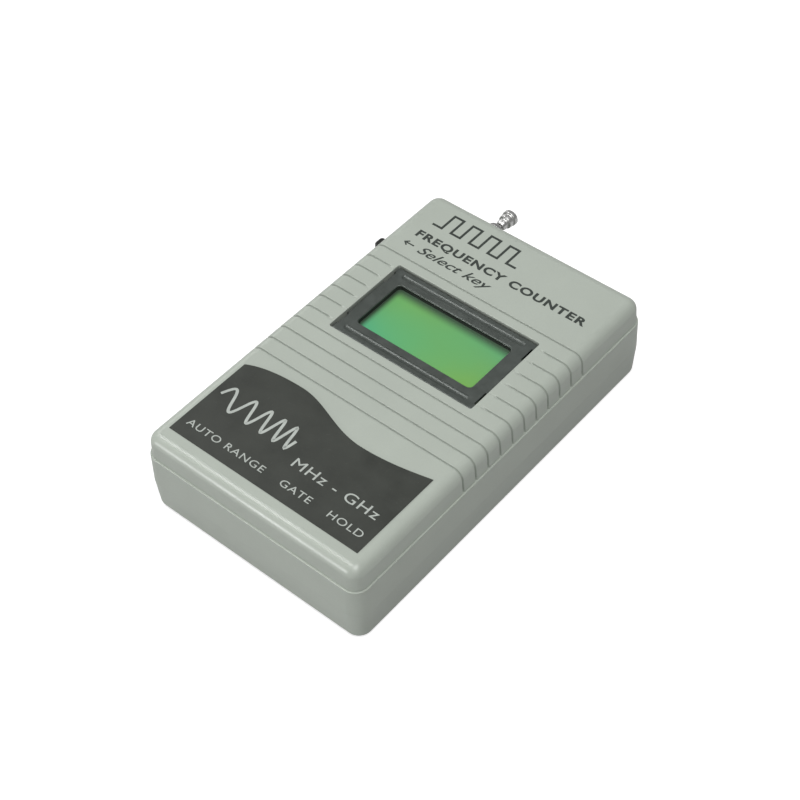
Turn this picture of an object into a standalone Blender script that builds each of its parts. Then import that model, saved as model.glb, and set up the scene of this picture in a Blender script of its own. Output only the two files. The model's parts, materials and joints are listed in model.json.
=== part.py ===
"""Pocket frequency counter: a two-shell plastic case with a character display, a side
multi-way key, a telescopic whip and a 9 V battery bay.

Frame: metres, +Z up out of the display face, +Y towards the end where the whip comes out,
+X to the right. The origin is the middle of the case's underside.
"""

import math

import bmesh
import bpy
from mathutils import Matrix, Vector

MM = 0.001

# ---- driving dimensions ----------------------------------------------------------------------
CASE_WIDTH = 71.0 * MM
CASE_LENGTH = 116.3 * MM
CASE_HEIGHT = 26.0 * MM
PARTING_HEIGHT = 18.8 * MM
CORNER_RADIUS = 4.2 * MM
SHOULDER_RADIUS = 3.1 * MM
BOTTOM_RADIUS = 1.4 * MM
WALL = 2.0 * MM
GAP = 0.3 * MM
RIM_STEP = 0.45 * MM
UPPER_DRAFT = 0.25 * MM
CREASE_HEIGHT = 9.5 * MM
CREASE_BULGE = 0.25 * MM
BASE_INSET = 0.3 * MM
CEILING_FILLET = 1.2 * MM
FLOOR_FILLET = 0.8 * MM

FRONT = -CASE_LENGTH / 2
BACK = CASE_LENGTH / 2
SIDE = CASE_WIDTH / 2
CEILING = CASE_HEIGHT - WALL
FLOOR = WALL

# ---- the lip that locates the two shells -----------------------------------------------------
LIP_HEIGHT = 1.4 * MM
LIP_OUTER_INSET = 1.3 * MM
LIP_THICKNESS = 0.8 * MM
UPPER_INNER_INSET = LIP_OUTER_INSET + LIP_THICKNESS + GAP

# ---- grooves ---------------------------------------------------------------------------------
GROOVE_COUNT = 11
GROOVE_FIRST_Y = 30.9 * MM
GROOVE_PITCH = 4.9 * MM
GROOVE_WIDTH = 0.8 * MM
GROOVE_DEPTH = 0.45 * MM
GROOVES_BESIDE_WINDOW = range(1, 7)
GROOVE_INNER_END = 25.3 * MM

# ---- display ---------------------------------------------------------------------------------
WINDOW_CENTRE = Vector((-0.15 * MM, 13.6 * MM, 0.0))
WINDOW_SIZE = (47.1 * MM, 28.6 * MM)
BEZEL_TOP = CASE_HEIGHT - 0.65 * MM
BEZEL_SIZE = (WINDOW_SIZE[0] - 2 * GAP, WINDOW_SIZE[1] - 2 * GAP)
BEZEL_SHEET = 0.5 * MM
BEZEL_NOTCH = (0.7 * MM, 4.6 * MM)
BEZEL_NOTCH_Y = 9.6 * MM
CHANNEL_CENTRE = Vector((-0.15 * MM, 13.85 * MM, 0.0))
CHANNEL_SIZE = (41.2 * MM, 1.9 * MM)
CHANNEL_DEPTH = 0.25 * MM
CHANNEL_OFFSET = 11.8 * MM
VIEW_CENTRE = Vector((-0.35 * MM, 13.9 * MM, 0.0))
VIEW_SIZE = (38.0 * MM, 17.6 * MM)
GLASS_SIZE = (42.0 * MM, 21.0 * MM)
GLASS_THICKNESS = 2.0 * MM
GLASS_TOP = BEZEL_TOP - BEZEL_SHEET - GAP
BACKLIGHT_SIZE = (41.0 * MM, 19.6 * MM)
BACKLIGHT_THICKNESS = 4.0 * MM
BACKLIGHT_TOP = GLASS_TOP - GLASS_THICKNESS - GAP
DISPLAY_BOARD_SIZE = (58.0 * MM, 32.0 * MM)
DISPLAY_BOARD_TOP = BACKLIGHT_TOP - BACKLIGHT_THICKNESS - GAP
BOARD_THICKNESS = 1.6 * MM
DISPLAY_SCREW_SPREAD = (53.4 * MM, 27.0 * MM)
DISPLAY_POST_RADIUS = 2.0 * MM
DISPLAY_PILOT_DEPTH = 4.0 * MM

# ---- label -----------------------------------------------------------------------------------
LABEL_LEFT = -31.2 * MM
LABEL_RIGHT = 30.5 * MM
LABEL_NEAR = FRONT + 6.2 * MM
LABEL_LEFT_END = FRONT + 33.4 * MM
LABEL_RIGHT_END = FRONT + 34.1 * MM
LABEL_CREST = (-14.0 * MM, FRONT + 36.6 * MM)
LABEL_CREST_HANDLE = 8.0 * MM
LABEL_TROUGH = (10.0 * MM, FRONT + 31.1 * MM)
LABEL_TROUGH_HANDLE = 9.0 * MM
LABEL_RIGHT_HANDLE = (-4.0 * MM, -0.9 * MM)
LABEL_LEFT_HANDLE = (3.5 * MM, 2.0 * MM)
LABEL_THICKNESS = 0.15 * MM
LABEL_GAP = 0.05 * MM

# ---- main board ------------------------------------------------------------------------------
MAIN_BOARD_TOP = 12.6 * MM
MAIN_BOARD_X = 31.0 * MM
MAIN_BOARD_Y = (-22.5 * MM, 46.5 * MM)
MAIN_SCREW_X = 27.6 * MM
MAIN_SCREW_Y = (-19.0 * MM, 42.5 * MM)

# ---- case screws -----------------------------------------------------------------------------
CASE_SCREW_X = 30.3 * MM
CASE_SCREW_Y = (-51.0 * MM, 51.0 * MM)
BOSS_RADIUS = 3.1 * MM
BOSS_TOP = 12.0 * MM
PILLAR_RADIUS = 2.4 * MM
PILLAR_PILOT_DEPTH = 7.0 * MM
SCREW_HEAD_RADIUS = 2.3 * MM
SCREW_HEAD_HEIGHT = 1.8 * MM
SCREW_SHANK_RADIUS = 1.1 * MM
SCREW_RECESS = 3.6 * MM
SCREW_LENGTH = 13.0 * MM
PILOT_RADIUS = SCREW_SHANK_RADIUS + GAP
BORE_RADIUS = PILOT_RADIUS + 0.1 * MM
SCREW_TIP_SHARE = 0.6
HEAD_CROWN_SHARE = 0.75
HEAD_RIM_SHARE = 0.35

# ---- battery ---------------------------------------------------------------------------------
BATTERY_BODY = (46.4 * MM, 26.5 * MM, 17.5 * MM)
BATTERY_LEFT = -25.6 * MM
BATTERY_CENTRE_Y = -41.55 * MM
BATTERY_BOTTOM = 2.3 * MM
BATTERY_ROUND = 1.2 * MM
TERMINAL_HEIGHT = 2.1 * MM
TERMINAL_SPREAD = 12.7 * MM
TERMINAL_RADIUS = (3.2 * MM, 2.7 * MM)
SNAP_SIZE = (3.2 * MM, 25.0 * MM, 12.0 * MM)
DOOR_X = (-26.6 * MM, 26.6 * MM)
DOOR_Y = (-54.9 * MM, -28.2 * MM)
DOOR_RECESS = 0.1 * MM
DOOR_TOP = 1.8 * MM
DOOR_TAB_Y = (-43.0 * MM, -33.0 * MM)
DOOR_TAB_REACH = 1.3 * MM
DOOR_TAB_WIDTH = 5.0 * MM
DOOR_LEDGE = 0.8 * MM
BAY_WALL_Y = -27.4 * MM
BAY_WALL = 1.4 * MM
BAY_WALL_TOP = 16.0 * MM
LEAD_NOTCH = (18.0 * MM, 27.0 * MM)
LEAD_NOTCH_BOTTOM = 10.0 * MM
LEAD_RADIUS = 0.6 * MM
LEAD_BENDS = ((0.0, 3.0 * MM, 0.3 * MM), (-0.2 * MM, 6.5 * MM, 0.2 * MM))
LEAD_LANDING = 4.0 * MM
LEAD_LANDING_LIFT = 0.5 * MM
LEAD_REACH = 8.0 * MM

# ---- whip ------------------------------------------------------------------------------------
WHIP_X = -15.2 * MM
WHIP_Z = 20.6 * MM
TUBE_GAP = 0.15 * MM
TUBE_WALL = 0.25 * MM
ROD_RADIUS = 0.55 * MM
WHIP_TUBES = 3
WHIP_REAR = BACK - 27.4 * MM
WHIP_MOUTH = BACK + 1.9 * MM
TUBE_STEP = 0.35 * MM
TUBE_REAR_STEP = 0.9 * MM
BUSHING_BORE = 1.9 * MM
BUSHING_THREAD = 2.15 * MM
BUSHING_FLANGE = 2.6 * MM
WHIP_HOLE = 2.4 * MM
NUT_RADIUS = 3.2 * MM
NUT_THICKNESS = 1.6 * MM
BUSHING_REAR = BACK - 6.0 * MM
BUSHING_NOSE = BACK + 1.6 * MM
BUSHING_LIP = 0.2 * MM
BUSHING_EDGE = 0.4 * MM
BUSHING_TAPER = 0.3 * MM
KNOB_START = BACK + 2.9 * MM
KNOB_END = BACK + 8.5 * MM
KNOB_NECK = 1.3 * MM
KNOB_RADII = (1.7 * MM, 2.1 * MM, 2.35 * MM)
KNOB_GROOVE = 0.35 * MM
KNOB_EDGE = 0.4 * MM
KNOB_TAPER = 0.1 * MM
KNOB_WIDE_FROM = 0.72
KNOB_UPPER_GROOVE = (0.62, 0.68)
KNOB_MIDDLE = (0.38, 0.59)
KNOB_LOWER_GROOVE = (0.27, 0.34)
KNOB_NARROW_TO = 0.24
KNOB_GRIP = 3.0 * MM
BRACKET_SETBACK = 2.0 * MM
BRACKET_THICKNESS = 2.0 * MM
BRACKET_HALF = 2.8 * MM
WHIP_LEAD_RADIUS = 0.35 * MM
WHIP_LEAD_LIFT = 0.4 * MM
WHIP_LEAD_BENDS = (
    (-1.5 * MM, 2.0 * MM, 0.4 * MM),
    (-1.6 * MM, 5.0 * MM, 0.4 * MM),
    (-1.0 * MM, 8.0 * MM, 0.0),
)

# ---- multi-way key ---------------------------------------------------------------------------
KEY_Y = FRONT + 93.1 * MM
KEY_Z = 20.8 * MM
KEY_PIVOT_X = -31.2 * MM
KEY_TIP_X = -37.7 * MM
KEY_WIDTH = 3.6 * MM
KEY_THICKNESS = 2.2 * MM
KEY_SLOT = (6.0 * MM, 2.9 * MM)
KEY_BODY_X = (-29.8 * MM, -23.8 * MM)
KEY_BODY_WIDTH = 9.0 * MM
KEY_BODY_TOP = 23.2 * MM
KEY_CHEEK = 0.6 * MM
KEY_PIN_RADIUS = 0.5 * MM
KEY_EYE = 0.9 * MM
KEY_TONGUE_HALF = 1.0 * MM
KEY_FORK_DEPTH = 1.4 * MM
KEY_ROUND = 0.45 * MM
KEY_TRAVEL = 0.6 * MM
PLUNGER_WIDTH = 3.2 * MM
PLUNGER_END_X = -26.0 * MM

# ---- small fasteners and board pieces --------------------------------------------------------
SMALL_SCREW_HEAD = 1.7 * MM
SMALL_HEAD_HEIGHT = 1.1 * MM
SMALL_SCREW_SHANK = 0.75 * MM
SMALL_SCREW_LENGTH = 4.6 * MM
SMALL_PILOT = SMALL_SCREW_SHANK + 0.25 * MM
BOARD_POST_RADIUS = 2.4 * MM
ZEBRA_SIZE = (36.0 * MM, 1.6 * MM)
BLOB_RADIUS = 5.0 * MM
BLOB_HEIGHT = 1.0 * MM
CONNECTOR_Y = 14.4 * MM
CONNECTOR_SIZE = (36.0 * MM, 2.5 * MM)
CHIP_STANDOFF = 0.15 * MM
CHIP_LEG = (0.42 * MM, 1.3 * MM, 0.8 * MM)
CHIP_LEG_PITCH = 1.27 * MM
CHIPS = {
    "microcontroller": ((0.0, 6.0 * MM), (17.9 * MM, 7.5 * MM, 2.5 * MM), 14),
    "prescaler": ((-12.0 * MM, 38.5 * MM), (4.9 * MM, 3.9 * MM, 1.7 * MM), 4),
    "input_amplifier": ((-20.0 * MM, 44.0 * MM), (3.4 * MM, 2.2 * MM, 1.3 * MM), 2),
}
CRYSTAL_PLACE = Vector((-1.0 * MM, 38.5 * MM, 0.0))
CRYSTAL_SIZE = (10.8 * MM, 4.6 * MM)
CRYSTAL_HEIGHT = 3.5 * MM
CRYSTAL_ROUND = 1.0 * MM
CAPACITORS = {
    "supply_capacitor": ((9.0 * MM, 40.0 * MM), 2.5 * MM),
    "output_capacitor": ((17.0 * MM, 40.0 * MM), 2.0 * MM),
}
CAPACITOR_HEIGHT = 7.0 * MM
REGULATOR_PLACE = Vector((25.0 * MM, 34.5 * MM, 0.0))
REGULATOR_SIZE = (4.8 * MM, 3.8 * MM)
REGULATOR_HEIGHT = 4.8 * MM
LEAD_HEIGHTS = (15.6 * MM, 13.8 * MM)
TAB_DROP = 0.1 * MM
THUMB_RADIUS = 6.0 * MM
THUMB_DEPTH = 0.6 * MM
THUMB_INSET = 6.0 * MM
BLOB_SHARE = 0.7

OVERLAP = 0.5 * MM
ROUND_STEPS = 20
FINE_STEPS = 16
BOSS_STEPS = 14
SCREW_STEPS = 12
PILOT_STEPS = 10
SMOOTH_ANGLE = math.radians(35)
TOLERANCE = 1e-6
MERGE_DISTANCE = 1e-5

COLOURS = {
    "case_plastic": ((0.42, 0.45, 0.40), 0.45, 0.0),
    "label_film": ((0.075, 0.078, 0.07), 0.4, 0.0),
    "bezel_metal": ((0.09, 0.09, 0.1), 0.35, 0.9),
    "display_glass": ((0.13, 0.42, 0.18), 0.12, 0.0),
    "diffuser": ((0.75, 0.85, 0.6), 0.5, 0.0),
    "circuit_board": ((0.03, 0.18, 0.07), 0.4, 0.0),
    "chip_plastic": ((0.02, 0.02, 0.02), 0.5, 0.0),
    "silicone": ((0.35, 0.3, 0.3), 0.7, 0.0),
    "chrome": ((0.75, 0.75, 0.75), 0.12, 1.0),
    "brass": ((0.75, 0.6, 0.3), 0.25, 1.0),
    "steel": ((0.6, 0.6, 0.62), 0.3, 1.0),
    "black_plastic": ((0.03, 0.03, 0.03), 0.4, 0.0),
    "battery_wrap": ((0.05, 0.05, 0.055), 0.35, 0.0),
    "capacitor_sleeve": ((0.03, 0.05, 0.2), 0.35, 0.0),
    "red_insulation": ((0.5, 0.02, 0.02), 0.5, 0.0),
    "black_insulation": ((0.02, 0.02, 0.02), 0.5, 0.0),
}


# ---- scene helpers ---------------------------------------------------------------------------
def clear_scene():
    for obj in list(bpy.data.objects):
        bpy.data.objects.remove(obj, do_unlink=True)


def new_collection(name):
    collection = bpy.data.collections.new(name)
    bpy.context.scene.collection.children.link(collection)
    return collection


clear_scene()
PARTS = new_collection("frequency_counter")
CUTTERS = new_collection("cutters")


def make_material(name):
    colour, roughness, metallic = COLOURS[name]
    material = bpy.data.materials.new(name)
    material.use_nodes = True
    shader = material.node_tree.nodes["Principled BSDF"]
    shader.inputs["Base Color"].default_value = (*colour, 1.0)
    shader.inputs["Roughness"].default_value = roughness
    shader.inputs["Metallic"].default_value = metallic
    material.diffuse_color = (*colour, 1.0)
    return material


MATERIALS = {name: make_material(name) for name in COLOURS}


def add_object(name, data, material=None):
    """An object in the parts collection or, with no material, a hidden cutter."""
    obj = bpy.data.objects.new(name, data)
    if material is None:
        CUTTERS.objects.link(obj)
        obj.hide_render = True
        obj.display_type = "WIRE"
        return obj
    PARTS.objects.link(obj)
    data.materials.append(MATERIALS[material])
    return obj


def mesh_object(name, bm, material=None, smooth=False):
    bmesh.ops.recalc_face_normals(bm, faces=bm.faces)
    mesh = bpy.data.meshes.new(name)
    bm.to_mesh(mesh)
    bm.free()
    if smooth:
        mesh.shade_smooth()
        mesh.set_sharp_from_angle(angle=SMOOTH_ANGLE)
    return add_object(name, mesh, material)


def cut(target, cutter, operation="DIFFERENCE"):
    modifier = target.modifiers.new(cutter.name, "BOOLEAN")
    modifier.object = cutter
    modifier.operation = operation


def box_mesh(low, high):
    bm = bmesh.new()
    size = Vector(high) - Vector(low)
    middle = (Vector(high) + Vector(low)) / 2
    placed = Matrix.Translation(middle) @ Matrix.Diagonal((*size, 1.0))
    bmesh.ops.create_cube(bm, size=1.0, matrix=placed)
    return bm


def box(name, low, high, material=None, bevel=0.0, segments=1):
    bm = box_mesh(low, high)
    if bevel:
        bmesh.ops.bevel(
            bm, geom=bm.edges[:], offset=bevel, segments=segments, profile=0.5, affect="EDGES"
        )
    return mesh_object(name, bm, material, smooth=bool(bevel))


def cylinder(
    name, base, radius, height, material=None, axis="Z", steps=ROUND_STEPS, top_radius=None
):
    """A cylinder or cone that starts at base and runs along +axis."""
    turn = {
        "X": Matrix.Rotation(math.pi / 2, 4, "Y"),
        "Y": Matrix.Rotation(-math.pi / 2, 4, "X"),
        "Z": Matrix(),
    }
    bm = bmesh.new()
    bmesh.ops.create_cone(
        bm,
        cap_ends=True,
        segments=steps,
        radius1=radius,
        radius2=radius if top_radius is None else top_radius,
        depth=height,
        matrix=Matrix.Translation(base) @ turn[axis] @ Matrix.Translation((0, 0, height / 2)),
    )
    return mesh_object(name, bm, material, smooth=True)


def turned(name, profile, material, place, steps=ROUND_STEPS):
    """A turned piece: profile is (radius, height) pairs down the outer side, turned about local Z."""
    mesh = bpy.data.meshes.new(name)
    points = [(radius, 0.0, height) for radius, height in profile]
    edges = [(index, index + 1) for index in range(len(points) - 1)]
    if profile[0][0] > 0.0:
        edges.append((len(points) - 1, 0))
    mesh.from_pydata(points, edges, [])
    obj = add_object(name, mesh, material)
    screw = obj.modifiers.new("turn", "SCREW")
    screw.steps = steps
    screw.render_steps = steps
    screw.use_merge_vertices = True
    screw.merge_threshold = MERGE_DISTANCE
    screw.use_smooth_shade = True
    obj.matrix_world = place
    return obj


def along_y(x, y, z):
    """Places a turned piece's local +Z along +Y."""
    return Matrix.Translation((x, y, z)) @ Matrix.Rotation(-math.pi / 2, 4, "X")


def wire(name, points, radius, material):
    """A round wire through the given points, on a smooth curve."""
    route = smooth_route(points)
    curve = bpy.data.curves.new(name, "CURVE")
    curve.dimensions = "3D"
    curve.bevel_depth = radius
    curve.bevel_resolution = 1
    curve.use_fill_caps = True
    spline = curve.splines.new("POLY")
    spline.points.add(len(route) - 1)
    for place, point in zip(spline.points, route):
        place.co = (*point, 1.0)
    return add_object(name, curve, material)


def smooth_route(points, steps=3):
    """Catmull-Rom points through the route's own points."""
    padded = [2 * points[0] - points[1], *points, 2 * points[-1] - points[-2]]
    route = []
    for before, start, end, after in zip(padded, padded[1:], padded[2:], padded[3:]):
        for step in range(steps):
            t = step / steps
            route.append(
                0.5
                * (
                    2 * start
                    + (end - before) * t
                    + (2 * before - 5 * start + 4 * end - after) * t**2
                    + (3 * start - before - 3 * end + after) * t**3
                )
            )
    return [*route, points[-1]]


# ---- case shells -----------------------------------------------------------------------------
def set_ring(bm, height, inset):
    """Moves the corner points at this height to the case outline, moved in by inset."""
    for vert in bm.verts:
        if abs(vert.co.z - height) < TOLERANCE:
            vert.co.x = math.copysign(SIDE - inset, vert.co.x)
            vert.co.y = math.copysign(BACK - inset, vert.co.y)


def case_block(name, rings, corner, fillet=0.0, fillet_at="TOP", steps=(5, 4), material=None):
    """A block with the case's outline: rings are (height, inset) from the bottom to the top."""
    bottom, top = rings[0][0], rings[-1][0]
    bm = box_mesh((-SIDE, FRONT, bottom), (SIDE, BACK, top))
    for height, _ in rings[1:-1]:
        geometry = bm.verts[:] + bm.edges[:] + bm.faces[:]
        bmesh.ops.bisect_plane(bm, geom=geometry, plane_co=(0, 0, height), plane_no=(0, 0, 1))
    for height, inset in rings:
        set_ring(bm, height, inset)
    posts = [
        edge for edge in bm.edges if abs(edge.verts[0].co.z - edge.verts[1].co.z) > TOLERANCE
    ]
    bmesh.ops.bevel(bm, geom=posts, offset=corner, segments=steps[0], profile=0.5, affect="EDGES")
    if fillet:
        level = top if fillet_at == "TOP" else bottom
        rim = [
            edge
            for edge in bm.edges
            if all(abs(vert.co.z - level) < TOLERANCE for vert in edge.verts)
        ]
        bmesh.ops.bevel(bm, geom=rim, offset=fillet, segments=steps[1], profile=0.5, affect="EDGES")
    return mesh_object(name, bm, material, smooth=True)


def groove_spans(index):
    """The stretches in X that one groove runs over."""
    outer = SIDE + GAP
    if index in GROOVES_BESIDE_WINDOW:
        return [(-outer, -GROOVE_INNER_END), (GROOVE_INNER_END, outer)]
    return [(-outer, outer)]


def groove_core(inset_extra):
    """The upper shell's outline moved in by inset_extra, over which the groove rings pass."""
    return [
        (PARTING_HEIGHT, RIM_STEP + inset_extra),
        (CASE_HEIGHT - inset_extra, RIM_STEP + UPPER_DRAFT + inset_extra),
    ]


def build_grooves():
    """One cutter for each groove: a bar across the case with the groove's floor left standing."""
    core = case_block(
        "groove_core", groove_core(GROOVE_DEPTH), CORNER_RADIUS, SHOULDER_RADIUS - GROOVE_DEPTH
    )
    cutters = []
    for index in range(GROOVE_COUNT):
        middle = GROOVE_FIRST_Y - index * GROOVE_PITCH
        for start, end in groove_spans(index):
            low = (start, middle - GROOVE_WIDTH / 2, PARTING_HEIGHT - GAP)
            high = (end, middle + GROOVE_WIDTH / 2, CASE_HEIGHT + GAP)
            side = "left" if start < 0 else "right"
            bar = box(f"groove_{index + 1}_{side}", low, high)
            cut(bar, core)
            cutters.append(bar)
    return cutters


def build_top_shell():
    lower_edge = PARTING_HEIGHT + GAP
    outer = [(lower_edge, RIM_STEP), (CASE_HEIGHT, RIM_STEP + UPPER_DRAFT)]
    shell = case_block("top_shell", outer, CORNER_RADIUS, SHOULDER_RADIUS, material="case_plastic")
    inner = [(lower_edge - WALL, UPPER_INNER_INSET), (CEILING, UPPER_INNER_INSET)]
    hollow = case_block("top_hollow", inner, CORNER_RADIUS - WALL, CEILING_FILLET, steps=(3, 2))
    cut(shell, hollow)
    rebate_top = PARTING_HEIGHT + LIP_HEIGHT + GAP
    rebate_inset = LIP_OUTER_INSET - GAP
    rebate = [(lower_edge - WALL, rebate_inset), (rebate_top, rebate_inset)]
    cut(shell, case_block("lip_rebate", rebate, CORNER_RADIUS - rebate_inset, steps=(4, 1)))
    for groove in build_grooves():
        cut(shell, groove)
    add_display_posts(shell)
    add_upper_bosses(shell)
    half = (WINDOW_SIZE[0] / 2, WINDOW_SIZE[1] / 2)
    low = (WINDOW_CENTRE.x - half[0], WINDOW_CENTRE.y - half[1], CEILING - WALL)
    high = (WINDOW_CENTRE.x + half[0], WINDOW_CENTRE.y + half[1], CASE_HEIGHT + WALL)
    cut(shell, box("window_cutter", low, high))
    return shell


def add_display_posts(shell):
    """Four short posts from the ceiling that the display board is screwed to."""
    bottom = DISPLAY_BOARD_TOP + GAP
    height = CEILING + OVERLAP - bottom
    for number, (x, y) in enumerate(display_screw_places(), 1):
        post = cylinder(
            f"display_post_{number}", (x, y, bottom), DISPLAY_POST_RADIUS, height, steps=SCREW_STEPS
        )
        cut(shell, post, "UNION")
        foot = (x, y, bottom - GAP)
        pilot = cylinder(
            f"display_pilot_{number}", foot, SMALL_PILOT, DISPLAY_PILOT_DEPTH, steps=PILOT_STEPS
        )
        cut(shell, pilot)


def add_upper_bosses(shell):
    """Four pillars from the ceiling that the case screws go up into."""
    bottom = BOSS_TOP + GAP
    height = CEILING + OVERLAP - bottom
    for number, (x, y) in enumerate(case_screw_places(), 1):
        pillar = cylinder(
            f"upper_boss_{number}", (x, y, bottom), PILLAR_RADIUS, height, steps=BOSS_STEPS
        )
        cut(shell, pillar, "UNION")
        foot = (x, y, bottom - GAP)
        pilot = cylinder(
            f"case_pilot_{number}", foot, PILOT_RADIUS, PILLAR_PILOT_DEPTH, steps=PILOT_STEPS
        )
        cut(shell, pilot)


def whip_hole_cutter():
    """The round hole in the back wall that the whip's bushing sits in."""
    start = BACK - 2 * WALL
    return cylinder("whip_hole", (WHIP_X, start, WHIP_Z), WHIP_HOLE, 4 * WALL, axis="Y")


def key_slot_cutter():
    """The slot in the left wall that the key comes out of."""
    low = (-SIDE - WALL, KEY_Y - KEY_SLOT[0] / 2, KEY_Z - KEY_SLOT[1] / 2)
    high = (-SIDE + 2 * WALL, KEY_Y + KEY_SLOT[0] / 2, KEY_Z + KEY_SLOT[1] / 2)
    return box("key_slot", low, high)


def build_bottom_shell():
    outer = [(0.0, BASE_INSET), (CREASE_HEIGHT, -CREASE_BULGE), (PARTING_HEIGHT, 0.0)]
    shell = case_block(
        "bottom_shell", outer, CORNER_RADIUS, BOTTOM_RADIUS, "BOTTOM", (5, 3), "case_plastic"
    )
    lip = [(PARTING_HEIGHT - WALL, LIP_OUTER_INSET), (PARTING_HEIGHT + LIP_HEIGHT, LIP_OUTER_INSET)]
    cut(shell, case_block("lip", lip, CORNER_RADIUS - LIP_OUTER_INSET, steps=(4, 1)), "UNION")
    lower_inner = LIP_OUTER_INSET + LIP_THICKNESS
    hollow = [(FLOOR, lower_inner + BASE_INSET), (CASE_HEIGHT, lower_inner)]
    corner = CORNER_RADIUS - WALL
    cut(shell, case_block("bottom_hollow", hollow, corner, FLOOR_FILLET, "BOTTOM", (3, 2)))
    add_bay_wall(shell)
    add_board_posts(shell)
    add_lower_bosses(shell)
    add_door_opening(shell)
    return shell


def add_bay_wall(shell):
    """The wall between the battery bay and the electronics, notched for the leads."""
    reach = SIDE - WALL
    low = (-reach, BAY_WALL_Y, FLOOR - OVERLAP)
    high = (reach, BAY_WALL_Y + BAY_WALL, BAY_WALL_TOP)
    cut(shell, box("bay_wall", low, high), "UNION")
    low = (LEAD_NOTCH[0], BAY_WALL_Y - WALL, LEAD_NOTCH_BOTTOM)
    high = (LEAD_NOTCH[1], BAY_WALL_Y + BAY_WALL + WALL, BAY_WALL_TOP + WALL)
    cut(shell, box("lead_notch", low, high))


def add_board_posts(shell):
    """Four posts on the floor that the main board is screwed to."""
    top = MAIN_BOARD_TOP - BOARD_THICKNESS - GAP
    for number, (x, y) in enumerate(board_screw_places(), 1):
        foot = (x, y, FLOOR - OVERLAP)
        height = top - foot[2]
        post = cylinder(
            f"board_post_{number}", foot, BOARD_POST_RADIUS, height, steps=BOSS_STEPS
        )
        cut(shell, post, "UNION")
        base = (x, y, top - SMALL_SCREW_LENGTH - GAP)
        depth = SMALL_SCREW_LENGTH + 3 * GAP
        pilot = cylinder(f"board_pilot_{number}", base, SMALL_PILOT, depth, steps=PILOT_STEPS)
        cut(shell, pilot)


def add_lower_bosses(shell):
    """Four tubes on the floor for the case screws, with recesses for the screws' heads."""
    recess_radius = SCREW_HEAD_RADIUS + GAP
    recess_height = WALL + SCREW_RECESS
    bore_height = BOSS_TOP + 2 * WALL
    for number, (x, y) in enumerate(case_screw_places(), 1):
        foot = (x, y, FLOOR - OVERLAP)
        height = BOSS_TOP - foot[2]
        boss = cylinder(f"lower_boss_{number}", foot, BOSS_RADIUS, height, steps=BOSS_STEPS)
        cut(shell, boss, "UNION")
        below = (x, y, -WALL)
        recess = cylinder(
            f"screw_recess_{number}", below, recess_radius, recess_height, steps=BOSS_STEPS
        )
        cut(shell, recess)
        bore = cylinder(
            f"screw_bore_{number}", below, BORE_RADIUS, bore_height, steps=SCREW_STEPS
        )
        cut(shell, bore)


def add_door_opening(shell):
    """The hole in the floor that the door closes, with a pocket for each of its two tongues."""
    low = (DOOR_X[0] - GAP, DOOR_Y[0] - GAP, -WALL)
    high = (DOOR_X[1] + GAP, DOOR_Y[1] + GAP, FLOOR + WALL)
    cut(shell, box("door_opening", low, high))
    for number, y in enumerate(DOOR_TAB_Y, 1):
        half = DOOR_TAB_WIDTH / 2 + GAP
        low = (DOOR_X[0] - DOOR_TAB_REACH - 2 * GAP, y - half, DOOR_LEDGE)
        high = (DOOR_X[0], y + half, FLOOR + WALL)
        cut(shell, box(f"tongue_pocket_{number}", low, high))


def build_door():
    """The battery door: a flat panel with two tongues on its left edge and a thumb dish."""
    low = (DOOR_X[0], DOOR_Y[0], DOOR_RECESS)
    high = (DOOR_X[1], DOOR_Y[1], DOOR_TOP)
    door = box("battery_door", low, high, "case_plastic")
    for number, y in enumerate(DOOR_TAB_Y, 1):
        half = DOOR_TAB_WIDTH / 2
        low = (DOOR_X[0] - DOOR_TAB_REACH, y - half, DOOR_LEDGE + GAP)
        high = (DOOR_X[0] + 2 * DOOR_TAB_REACH, y + half, DOOR_TOP - TAB_DROP)
        cut(door, box(f"door_tongue_{number}", low, high), "UNION")
    centre = (DOOR_X[1] - THUMB_INSET, sum(DOOR_Y) / 2, DOOR_RECESS - THUMB_RADIUS + THUMB_DEPTH)
    cut(door, thumb_dish(centre))


def thumb_dish(centre):
    """A round dish in the underside of the door, for the thumb that presses its latch."""
    bm = bmesh.new()
    bmesh.ops.create_uvsphere(
        bm, u_segments=14, v_segments=10, radius=THUMB_RADIUS, matrix=Matrix.Translation(centre)
    )
    return mesh_object("thumb_dish", bm)


# ---- places of the fasteners -----------------------------------------------------------------
def case_screw_places():
    return [(side * CASE_SCREW_X, y) for y in CASE_SCREW_Y for side in (-1, 1)]


def board_screw_places():
    return [(side * MAIN_SCREW_X, y) for y in MAIN_SCREW_Y for side in (-1, 1)]


def display_screw_places():
    half = (DISPLAY_SCREW_SPREAD[0] / 2, DISPLAY_SCREW_SPREAD[1] / 2)
    return [
        (WINDOW_CENTRE.x + side * half[0], WINDOW_CENTRE.y + end * half[1])
        for end in (-1, 1)
        for side in (-1, 1)
    ]


def screw(name, base, head_radius, head_height, shank_radius, length):
    """A pan-head screw that points up, its head's lower face at base."""
    profile = [
        (0.0, length),
        (shank_radius * SCREW_TIP_SHARE, length),
        (shank_radius, length - shank_radius),
        (shank_radius, head_height),
        (head_radius, head_height),
        (head_radius, head_height * HEAD_RIM_SHARE),
        (head_radius * HEAD_CROWN_SHARE, 0.0),
        (0.0, 0.0),
    ]
    return turned(name, profile, "steel", Matrix.Translation(base), steps=SCREW_STEPS)


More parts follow.
